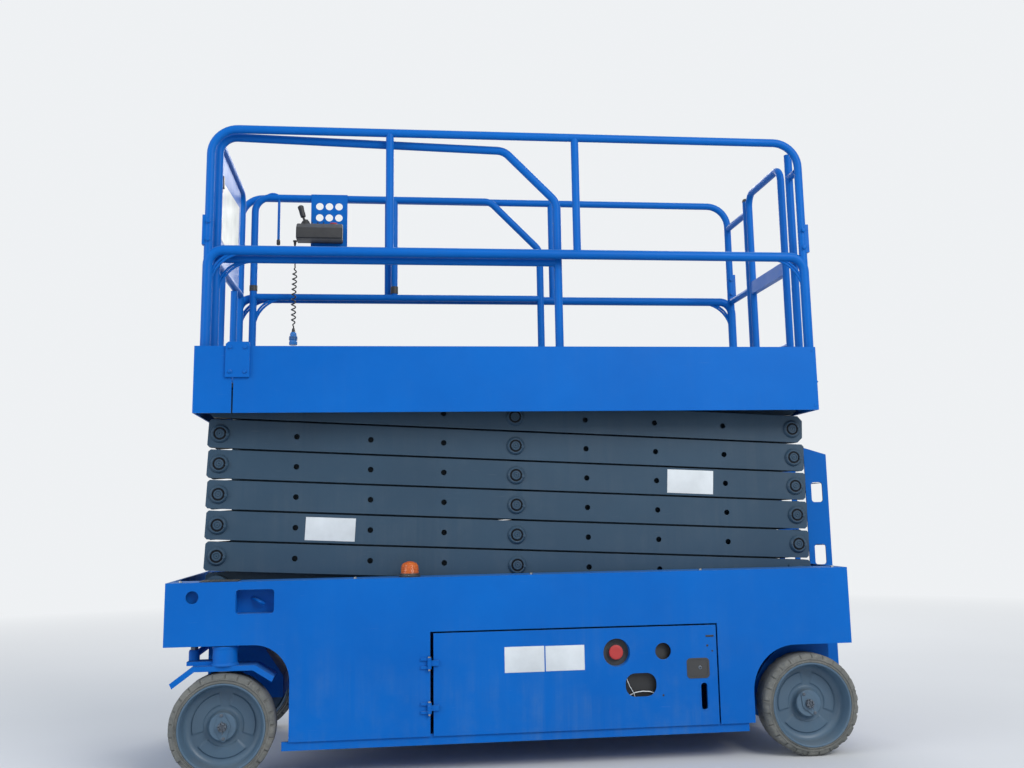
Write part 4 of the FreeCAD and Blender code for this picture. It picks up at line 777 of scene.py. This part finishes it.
def ladder_fittings():
    """Punched grip rows on the steps and the bolts that hold the ladder."""
    form = Form(BLUE)
    for step in range(4):
        level = 0.245 + 0.265 * step + 0.0062
        for k in range(15):
            for m in range(4):
                spot = at(1.3245 + 0.019 * m, -0.161 + 0.023 * k, level)
                form.turned(spot, UP, [(-0.0002, 0.0075), (0.0022, 0.0052), (0.0024, 0.0036),
                    (0.0008, 0.003)], 10)
    form.use(ZINC)
    for side in SIDES:
        for z in (0.47, 0.66):
            form.bolt(at(1.33, side * 0.1905, z), (0, side, 0), 0.0078)
    form.done("ladder_fittings", "chassis", "body_blue")

hinge_pins()
pocket_liners()
deck_trim()
end_fittings()
beacon_lamp()
ladder_fittings()

# Doors and ground controls

DOOR_OUT = 0.58
PAN_X, PAN_Z = 0.685, 0.34
SLOT_X, SLOT_Z = 0.706, 0.236

def door_fittings(side):
    """Latch in its pan, rim of the lower slot, a slit and holes drawn as flat black sheets of painted shade,
    and the near door's blank plates.
    """
    name = SIDE_NAMES[side] + "_door"
    face = side * DOOR_OUT
    out = Vector((0, side, 0))
    form = Form(CASE)
    pan = at(PAN_X, face + side * 0.0012, PAN_Z)
    outline = rounded_box(pan, 0.0445, 0.0375, 0.014)
    inner = rounded_box(pan, 0.0375, 0.0305, 0.01)
    step = [point - out * 0.0012 for point in outline]
    back = [point - out * 0.016 for point in inner]
    form.skin([step, outline, inner, back, [point - out * 0.0015 for point in back]])
    low, high = sorted((face - side * 0.012, face - side * 0.001))
    form.use(GREY)
    form.block(at(0.663, low, 0.316), at(0.711, high, 0.362), 0.003)
    form.use(DARK_STEEL)
    form.turned(at(0.693, face - side * 0.001, 0.342), out, [(0, 0.0068), (0.0016, 0.0068), (0.0022, 0.0058),
        (0.0022, 0.0025), (0.001, 0.0022)], 24)
    form.use(CASE)
    form.block(at(0.651, low, 0.318), at(0.6605, high, 0.36), 0.0015)
    form.use(BLUE)
    slot = at(SLOT_X, face + side * 0.001, SLOT_Z)
    rim_out = rounded_box(slot, 0.0165, 0.0535, 0.014)
    rim_in = rounded_box(slot, 0.0125, 0.0495, 0.0115)
    form.skin([[p - out * 0.001 for p in rim_out], rim_out, rim_in, [p - out * 0.012 for p in rim_in]],
        ends=False)
    # Painted shade: thin black sheets on the door face stand for the dark inside seen through a slit and three
    # holes.
    form.use(BLACK)
    low, high = sorted((face, face + side * 0.0006))
    form.block(at(0.7195, low, 0.4545), at(0.7515, high, 0.4615), 0.0002)
    for x, z, radius in ((0.725, 0.4225, 0.0045), (0.744, 0.402, 0.0035), (0.545, 0.245, 0.004)):
        form.turned(at(x, face, z), out, [(0, radius), (0.0005, radius * 0.94)], 18)
    if side == NEAR:
        form.use(WHITE)
        for low, high in (((-0.061, 0.347), (0.09, 0.441)), ((0.095, 0.348), (0.244, 0.44))):
            form.block(at(low[0], face - 0.0007, low[1]), at(high[0], face - 0.00001, high[1]), 0.0003)
    form.done(name + "_fittings", name, "battery_case")

def ground_controls():
    """Cup and stop button behind the near door, with a black sheet of painted shade and the white wires behind
    its window.
    """
    out = Vector((0, -1, 0))
    stop = at(0.369, -0.5735, 0.407)
    form = Form(BLUE)
    form.turned(stop, out, [(-0.0205, 0.0505), (0.0, 0.0545), (0.0, 0.056), (-0.0205, 0.0525)], 56, None,
        True)
    form.use(CASE)
    form.turned(stop - out * 0.022, out, [(0, 0.056), (0.0015, 0.056), (0.002, 0.03)], 56)
    form.turned(stop - out * 0.02, out, [(0, 0.033), (0.003, 0.033), (0.0036, 0.02)], 40)
    form.use(RED)
    button = [(0.0035, 0.02), (0.006, 0.021), (0.0085, 0.0268), (0.0125, 0.0276), (0.015, 0.026),
        (0.016, 0.0225), (0.0152, 0.013),
              (0.0148, 0.003)]
    form.turned(stop - out * 0.02, out, button, 48)
    # Painted shade: a black sheet behind the window stands for the dark inside of the box.
    form.use(BLACK)
    form.block(at(0.39, -0.5525, 0.225), at(0.6, -0.551, 0.45), 0.0005)
    form.use(WHITE)
    upper = [(0.405, -0.56, 0.325), (0.411, -0.561, 0.3), (0.42, -0.562, 0.278), (0.434, -0.561, 0.255),
             (0.44, -0.559, 0.236)]
    lower = [(0.418, -0.557, 0.246), (0.44, -0.56, 0.256), (0.468, -0.562, 0.26), (0.496, -0.561, 0.258),
             (0.522, -0.558, 0.25)]
    for wire, radius in ((upper, 0.0016), (lower, 0.002)):
        form.pipe([at(*point) for point in wire], radius, 8)
    form.done("ground_controls", "chassis", "unit_grey")

for door_side in SIDES:
    door_fittings(door_side)
ground_controls()

# Power unit and batteries behind the doors

def power_pack():
    """Tank with filler and gauge, motor with pump, valve block with coils, hoses and a contactor box."""
    low, high = node_box("power_unit")
    left, face, base = low

    def inside(x, y, z):
        """A point given from the unit's low corner."""
        return Vector((left + x, face + y, base + z))

    form = Form(GREY)
    form.block(low, (high.x, high.y, base + 0.008), 0.002)
    form.block(inside(0.015, 0.012, 0.03), (left + 0.285, high.y - 0.01, high.z - 0.014), 0.016)
    for k in range(5):
        x = left + 0.05 + 0.048 * k
        form.block((x, face + 0.006, base + 0.06), (x + 0.018, face + 0.014, high.z - 0.05), 0.003)
    for x in (left + 0.03, left + 0.24):
        form.block((x, face + 0.02, base + 0.008), (x + 0.03, high.y - 0.02, base + 0.03), 0.002)
    form.use(BLACK)
    form.turned((left + 0.09, face + 0.08, high.z - 0.0145), UP,
        [(0, 0.026), (0.008, 0.026), (0.011, 0.023), (0.0135, 0.022), (0.014, 0.01)], 12)
    form.use(WHITE)
    form.block(inside(0.262, 0.0045, 0.1), inside(0.276, 0.0125, 0.23), 0.003)
    form.use(DARK_STEEL)
    motor = inside(0.315, 0.105, 0.115)
    ribs = [(0, 0.058), (0.006, 0.066), (0.03, 0.066)]
    for k in range(9):
        ribs += [(0.034 + 0.014 * k, 0.069), (0.041 + 0.014 * k, 0.069), (0.042 + 0.014 * k, 0.065),
            (0.0475 + 0.014 * k, 0.065)]
    ribs += [(0.166, 0.067), (0.19, 0.067), (0.196, 0.058), (0.196, 0.02)]
    form.turned(motor, AFT, ribs, 48)
    form.use(ZINC)
    form.turned(motor + Vector((0.196, 0, 0)), AFT, [(0, 0.046), (0.028, 0.046), (0.032, 0.042),
        (0.052, 0.04), (0.055, 0.034)], 8)
    for y in (-0.03, 0.03):
        form.bolt(motor + Vector((0.055 + 0.196, y, 0)), AFT, 0.007, False)
    form.block(inside(0.62, 0.035, 0.05), inside(0.74, 0.155, 0.16), 0.003)
    for k in range(3):
        coil = Vector((left + 0.64 + 0.04 * k, face + 0.095, base + 0.16))
        form.use(BLACK)
        form.turned(coil, UP, [(0, 0.016), (0.002, 0.018), (0.042, 0.018), (0.045, 0.016)], 24)
        form.use(ZINC)
        form.turned(coil + UP * 0.045, UP, [(0, 0.008), (0.01, 0.008), (0.011, 0.006)], 6)
        form.turned((coil.x, face + 0.035, base + 0.075), (0, -1, 0),
            [(0, 0.01), (0.01, 0.01), (0.0115, 0.0085)], 6)
    form.use(CASE)
    form.block(inside(0.36, 0.012, 0.205), (left + 0.6, face + 0.16, high.z - 0.012), 0.006)
    form.block(inside(0.62, 0.012, 0.225), (left + 0.78, face + 0.14, high.z - 0.008), 0.006)
    form.use(RED)
    form.turned(inside(0.7, 0.012, 0.262), (0, -1, 0), [(0, 0.007), (0.004, 0.0065), (0.005, 0.004)], 20)
    form.use(BLACK)
    for k, (start, stop, drop) in enumerate(((0.646, 0.5, 0.03), (0.684, 0.3, 0.045), (0.724, 0.56, 0.055))):
        one = Vector((left + start, face + 0.032, base + 0.075))
        two = Vector((left + stop, face + 0.045 + 0.012 * k, base + 0.035))
        run = []
        for n in range(17):
            share = n / 16
            away = 0.02 * math.sin(math.pi * min(1, share * 2.0)) * (1 - share)
            run.append(one.lerp(two, share) - Vector((0, away, drop * math.sin(math.pi * share) * 0.4)))
        form.pipe(run, 0.0075, 12)
    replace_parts(form.done("power_pack", "chassis", "unit_grey"), "power_unit")

def battery_row():
    """Four ribbed battery cases with vented lids, posts, clamps and link cables on a tray."""
    low, high = node_box("battery_block")
    form = Form(GREY)
    form.block(low, (high.x, high.y, low.z + 0.006), 0.001)
    form.block((low.x, high.y - 0.004, low.z), (high.x, high.y, low.z + 0.05), 0.001)
    span = (high.x - low.x) / 4
    top = high.z - 0.028
    for k in range(4):
        left = low.x + span * k + 0.006
        right = left + span - 0.012
        form.use(CASE)
        form.block((left, low.y + 0.012, low.z + 0.006), (right, high.y - 0.01, top - 0.028), 0.006)
        form.block((left - 0.003, low.y + 0.009, top - 0.03), (right + 0.003, high.y - 0.007, top), 0.006)
        for n in range(7):
            x = left + 0.022 + n * (right - left - 0.052) / 6
            form.block((x, high.y - 0.0115, low.z + 0.06), (x + 0.008, high.y - 0.0068, top - 0.05), 0.0015)
        form.use(WHITE)
        for n in range(3):
            cap = Vector((left + 0.055 + n * (right - left - 0.11) / 2, (low.y + high.y) / 2, top))
            form.turned(cap, UP, [(0, 0.016), (0.006, 0.016), (0.009, 0.013), (0.009, 0.005)], 12)
        for n, y in enumerate((low.y + 0.045, high.y - 0.045)):
            post = Vector((left + 0.04 if n else right - 0.04, y, top))
            form.use(STEEL)
            form.turned(post, UP, [(0, 0.01), (0.015, 0.009), (0.017, 0.007)], 24)
            form.turned(post + UP * 0.005, UP, [(0, 0.0155), (0.007, 0.0155)], 20)
    for k in range(3):
        one = Vector((low.x + span * (k + 1) - 0.046, low.y + 0.045, top + 0.01))
        two = Vector((low.x + span * (k + 1) + 0.046, high.y - 0.045, top + 0.01))
        form.use(RED if k == 1 else BLACK)
        run = [one.lerp(two, n / 20) + UP * (0.009 * math.sin(math.pi * n / 20)) for n in range(21)]
        form.pipe(run, 0.0065, 12)
    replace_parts(form.done("battery_row", "chassis", "battery_case"), "battery_block")

power_pack()
battery_row()

# Scissor arms

PIN_REAR, PIN_FRONT, PIN_LOW, PIN_RISE = 1.1725, -1.149, 0.677, 0.1175
CAP_OUT = 0.427

def pin_cap(form, place, out):
    """Bevelled collar round a pin's head, a near-black ring on the floor of the collar's recess, the head and
    the keeper's two bolts.
    """
    form.use(ARM)
    collar = [(-0.0068, 0.0365), (-0.0052, 0.0365), (0.0005, 0.0325), (0.0034, 0.029), (0.0034, 0.0252),
        (0.0004, 0.0246)]
    form.turned(place, out, collar, 44)
    # Near-black ring on the floor of the collar's recess, darker than the arm paint.
    form.use(DARK_RING_PAINT)
    form.turned(place, out, [(0.0002, 0.025), (0.0006, 0.0248), (0.0008, 0.015)], 36)
    form.use(ARM)
    head = [(0.0, 0.0176), (0.004, 0.0176), (0.0052, 0.0162), (0.0052, 0.0122), (0.003, 0.0112)]
    head += [(0.003, 0.0086), (0.0052, 0.0078), (0.0052, 0.0032), (0.002, 0.001)]
    form.turned(place, out, head, 40)
    form.bolt(place + Vector((0.0285, 0, -0.004)) + out * 0.002, out, 0.0072, False)
    form.bolt(place + Vector((-0.0285, 0, 0.001)) + out * 0.002, out, 0.0052, False)

def arm_fittings(stage):
    """Caps on one stage's pins, both sides, and the blank plates of the stages that have them."""
    outer, inner = Form(ARM), Form(ARM)
    low = PIN_LOW + PIN_RISE * (stage - 1)
    for side in SIDES:
        out = Vector((0, side, 0))
        pin_cap(outer, at(PIN_REAR, side * CAP_OUT, low), out)
        pin_cap(outer, at(PIN_FRONT, side * CAP_OUT, low + PIN_RISE), out)
        pin_cap(inner, at((PIN_REAR + PIN_FRONT) / 2, side * CAP_OUT, low + PIN_RISE / 2), out)
    slope = math.atan2(-PIN_RISE, PIN_REAR - PIN_FRONT)
    lean = Matrix.Rotation(-slope, 3, "Y")
    if stage == 2:
        blank_plate(outer, at(-0.7198, -0.4204, 0.8885), 0.0962, 0.0445, lean)
    if stage == 4:
        blank_plate(outer, at(0.7293, -0.4204, 1.0525), 0.096, 0.0475, lean)
    outer.done("outer_caps_%d" % stage, "outer_arms_%d" % stage, "arm_paint")
    inner.done("middle_caps_%d" % stage, "inner_arms_%d" % stage, "arm_paint")

def blank_plate(form, centre, half, rise, lean):
    form.use(WHITE)
    corners = [centre + lean @ Vector((sx * half, 0, sz * rise)) for sx,
        sz in ((-1, -1), (1, -1), (1, 1), (-1, 1))]
    form.slab(corners, (0, -0.0009, 0))

for stage in range(1, 7):
    arm_fittings(stage)

# Platform, rails and gate

RAIL = 0.017
FRONT_POST, REAR_POST = -1.205, 1.238
GUSSET_SPANS = (0.125, 0.153)

def platform_trim():
    """Guide brackets over the deck's front corners, toe board screws, floor bolts and a domed post cap."""
    form = Form(BLUE)
    for side in SIDES:
        out = Vector((0, side, 0))
        face = side * 0.5604
        corner = ((-1.118, 1.468), (-1.027, 1.468), (-1.027, 1.602), (-1.034, 1.605), (-1.108, 1.605),
                  (-1.118, 1.596))
        form.slab([at(x, face, z) for x, z in corner], out * 0.01)
        for x in (-1.101, -1.044):
            for z in (1.489, 1.583):
                form.bolt(at(x, face + side * 0.01, z), out, 0.0078)
        for z in (1.575, 1.35):
            form.turned(at(REAR_POST - 0.012, side * 0.5602, z), out, [(0, 0.0045), (0.001, 0.004)], 16)
    form.use(DARK_STEEL)
    for side in SIDES:
        for x in (-0.86, -0.4, 0.1, 0.6, 1.05):
            form.bolt(at(x, side * 0.536, 1.4504), UP, 0.0065, False)
    form.use(BLACK)
    dome = [(-0.003, 0.0178), (0.004, 0.0182), (0.009, 0.0162), (0.013, 0.011), (0.0148, 0.004)]
    form.turned(at(REAR_POST, 0.192, 2.422), UP, dome, 24)
    form.done("platform_trim", "platform", "body_blue")

def gusset(form, corner, along, radius):
    """Two thin bars bent from a post to the rail above it."""
    for span in GUSSET_SPANS:
        bend = span - RAIL * 0.5
        form.pipe(arc(corner + along * span - UP * span, -along * bend, UP * bend, -2, 92, 12), radius, 8)

def main_rail_trim(side):
    """Corner gussets, post sockets with their pins, and the pins of the fold tabs on one main rail."""
    y = side * 0.5
    form = Form(BLUE)
    for x, way in ((FRONT_POST, AFT), (REAR_POST, -AFT)):
        gusset(form, at(x, y, 1.981), way, 0.0055)
    socket = [(0, 0.03), (0.004, 0.03), (0.0045, 0.0225), (0.062, 0.022), (0.064, 0.019)]
    for x in (FRONT_POST, REAR_POST):
        form.turned(at(x, y, 1.4505), UP, socket, 28)
    for x in (FRONT_POST, REAR_POST):
        for way in (side, -side):
            pin = [(-0.002, 0.0075), (0.004, 0.0075), (0.005, 0.006)]
            form.turned(at(x, y + way * 0.0215, 1.492), (0, way, 0), pin, 6)
        for level in (2.021, 2.095):
            for way, steps in ((side, 20), (-side, 6)):
                pin = [(-0.001, 0.0088), (0.0045, 0.0086), (0.0055, 0.007)]
                form.turned(at(x, y + way * 0.0205, level), (0, way, 0), pin, steps)
    form.done("main_rail_trim_" + SIDE_NAMES[side], "platform", "body_blue")

def extension_rail_trim(side):
    """Gusset and socket of the front post on the sliding deck's rail, and two clamps on the far one."""
    y = side * 0.45
    form = Form(BLUE)
    front, level = (-1.18, 1.957) if side == NEAR else (-1.133, 1.981)
    gusset(form, at(front, y, level), AFT, 0.0052)
    socket = [(0, 0.03), (0.004, 0.03), (0.0045, 0.0215), (0.04, 0.0205), (0.042, 0.0175)]
    form.turned(at(front, y, 1.456), UP, socket, 28)
    form.use(BLACK)
    if side == FAR:
        for x, z, half, low, high in ((front, 2.022, 0.014, 0.0004, 0.002),
                (-0.464, 2.018, 0.018, -0.0002, 0.0012)):
            edge = half - 0.001
            clamp = [(-half, RAIL + low), (-edge, RAIL + high), (edge, RAIL + high), (half, RAIL + low)]
            form.turned(at(x, y, z), UP, clamp, 28)
    form.done("extension_rail_trim_" + SIDE_NAMES[side], "extension", "body_blue")

def deck_sheet():
    """Worn tread plate laid on the sliding deck, with its edge strip and countersunk screws."""
    low, high = node_box("extension_deck")
    floor = 1.4554
    start, end, half = low.x + 0.006, high.x - 0.001, 0.466
    form = Form(PLATE)
    corners = ((start, -half), (end, -half), (end, half), (start, half))
    form.slab([Vector((x, y, floor)) for x, y in corners], (0, 0, 0.0013))
    form.use(DARK_STEEL)
    form.block((end - 0.03, -half, floor + 0.001), (end - 0.001, half, floor + 0.0034), 0.001)
    for y in (-0.4, -0.13, 0.13, 0.4):
        form.turned((end - 0.0155, y, floor + 0.0032), UP, [(0, 0.0058), (0.0008, 0.0052), (0.001, 0.0018)],
            14)
    form.done("deck_sheet", "extension", "floor_plate")

def front_sign():
    """Blank sign on the inner face of the front plate, with rivets, and the black catch beside it."""
    form = Form(SIGN)
    face = -1.19 + 0.0021
    corners = ((-0.315, 2.082), (-0.145, 2.078), (0.272, 2.092), (0.272, 2.372), (-0.362, 2.322),
        (-0.362, 2.125))
    form.slab([at(face, y, z) for y, z in corners], (0.0011, 0, 0))
    form.use(ZINC)
    for y, z in ((-0.35, 2.31), (0.26, 2.358), (0.26, 2.104), (-0.305, 2.094)):
        form.turned(at(face + 0.0011, y, z), AFT, [(0, 0.0045), (0.0012, 0.0038), (0.0018, 0.0015)], 14)
    form.use(BLACK)
    form.block(at(-1.188, -0.396, 2.268), at(-1.166, -0.37, 2.318), 0.003)
    form.turned(at(-1.177, -0.383, 2.268), DOWN, [(0, 0.0062), (0.016, 0.0062), (0.018, 0.0045)], 16)
    form.done("front_sign", "extension", "unit_grey")

def hanger_rod():
    """Thin upright bar on the far rail of the sliding deck, hooked at its top."""
    form = Form(BLUE)
    x, y = -1.02, 0.444
    top = arc(at(-1.05, y, 2.47), (0.03, 0, 0), (0, 0, 0.019), 0, 150, 9)
    form.pipe([at(x, y, z) for z in (2.262, 2.4, 2.455)] + top, 0.0064, 12)
    form.use(BLACK)
    tip = [Vector(step) for step in ((0, 0, 0.001), (-0.012, 0, -0.01), (-0.018, 0, -0.022))]
    form.pipe([top[-1] + step for step in tip], 0.0075, 12)
    form.turned(at(x, y, 2.2355), UP, [(0, 0.007), (0.004, 0.009), (0.022, 0.009), (0.027, 0.006)], 16)
    form.done("hanger_rod", "extension", "body_blue")

platform_trim()
for rail_trim in (main_rail_trim, extension_rail_trim):
    rail_trim(NEAR)
    rail_trim(FAR)
deck_sheet()
front_sign()
hanger_rod()

# Control box

def control_panel():
    """Ribbed dark housing with a sloped face, two hooks, stop button, switches and a leaning joystick."""
    low, high = node_box("control_box")
    form = Form(CASE)
    half = (low + high) / 2
    wide = high.x - low.x
    near, far, under, top = low.y, high.y, low.z, high.z
    profile = [(near + 0.001, under + 0.006), (near + 0.006, under + 0.001), (far - 0.006, under + 0.001),
               (far - 0.001, under + 0.006), (far - 0.001, top - 0.012), (far - 0.006, top - 0.004),
               (near + 0.052, top - 0.001), (near + 0.044, top - 0.003), (near + 0.003, top - 0.032),
               (near + 0.001, top - 0.038)]
    rings = []
    for x, pull in ((low.x + 0.022, 0.004), (low.x + 0.026, 0.0), (high.x - 0.005, 0.0),
            (high.x - 0.001, 0.004)):
        across, tall = 1 - pull / 0.055, 1 - pull / 0.043
        rings.append([Vector((x, half.y + (y - half.y) * across, half.z + (z - half.z) * tall)) for y,
            z in profile])
    form.skin(rings)
    for k in range(9):
        x = low.x + 0.038 + k * (wide - 0.066) / 8
        form.block((x, far - 0.0016, under + 0.012), (x + 0.008, far - 0.0004, top - 0.018), 0.0004)
    form.use(DARK_STEEL)
    for x in (low.x + 0.05, high.x - 0.03):
        form.block((x - 0.012, far - 0.004, top - 0.022), (x + 0.012, far - 0.0002, top + 0.012), 0.001)
    form.use(RED)
    stop = Vector((high.x - 0.046, near + 0.08, top - 0.002))
    form.turned(stop, UP, [(0, 0.014), (0.0035, 0.0145), (0.0045, 0.0185), (0.0085, 0.019), (0.0115, 0.0165),
        (0.0125, 0.008)], 36)
    form.use(BLACK)
    for k in range(3):
        x = half.x - 0.03 + 0.028 * k
        form.turned((x, near + 0.08, top - 0.003), UP, [(0, 0.0085), (0.003, 0.0085), (0.004, 0.007)], 20)
        form.pipe([(x, near + 0.08, top), (x + 0.002, near + 0.077, top + 0.014)], 0.0026, 8)
    root = Vector((low.x + 0.062, near + 0.076, top - 0.003))
    lean = Vector((-0.28, 0.02, 1.0)).normalized()
    boot = [(0.0, 0.025), (0.004, 0.0255), (0.008, 0.021), (0.011, 0.0215), (0.015, 0.017), (0.018, 0.0175),
        (0.022, 0.0125), (0.026, 0.012)]
    form.turned(root, UP, boot, 32)
    form.pipe([root + lean * t for t in (0.015, 0.03, 0.048)], 0.0058, 12)
    grip = [(0.04, 0.008), (0.043, 0.0125), (0.06, 0.0135), (0.078, 0.0128), (0.088, 0.0145), (0.096, 0.0138),
        (0.1005, 0.009)]
    form.turned(root, lean, grip, 28)
    form.use(RED)
    form.turned(root + lean * 0.1005, lean, [(-0.001, 0.0048), (0.0015, 0.0046), (0.002, 0.003)], 16)
    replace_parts(form.done("control_panel", "extension", "control_black"), "control_box", "joystick")

control_panel()
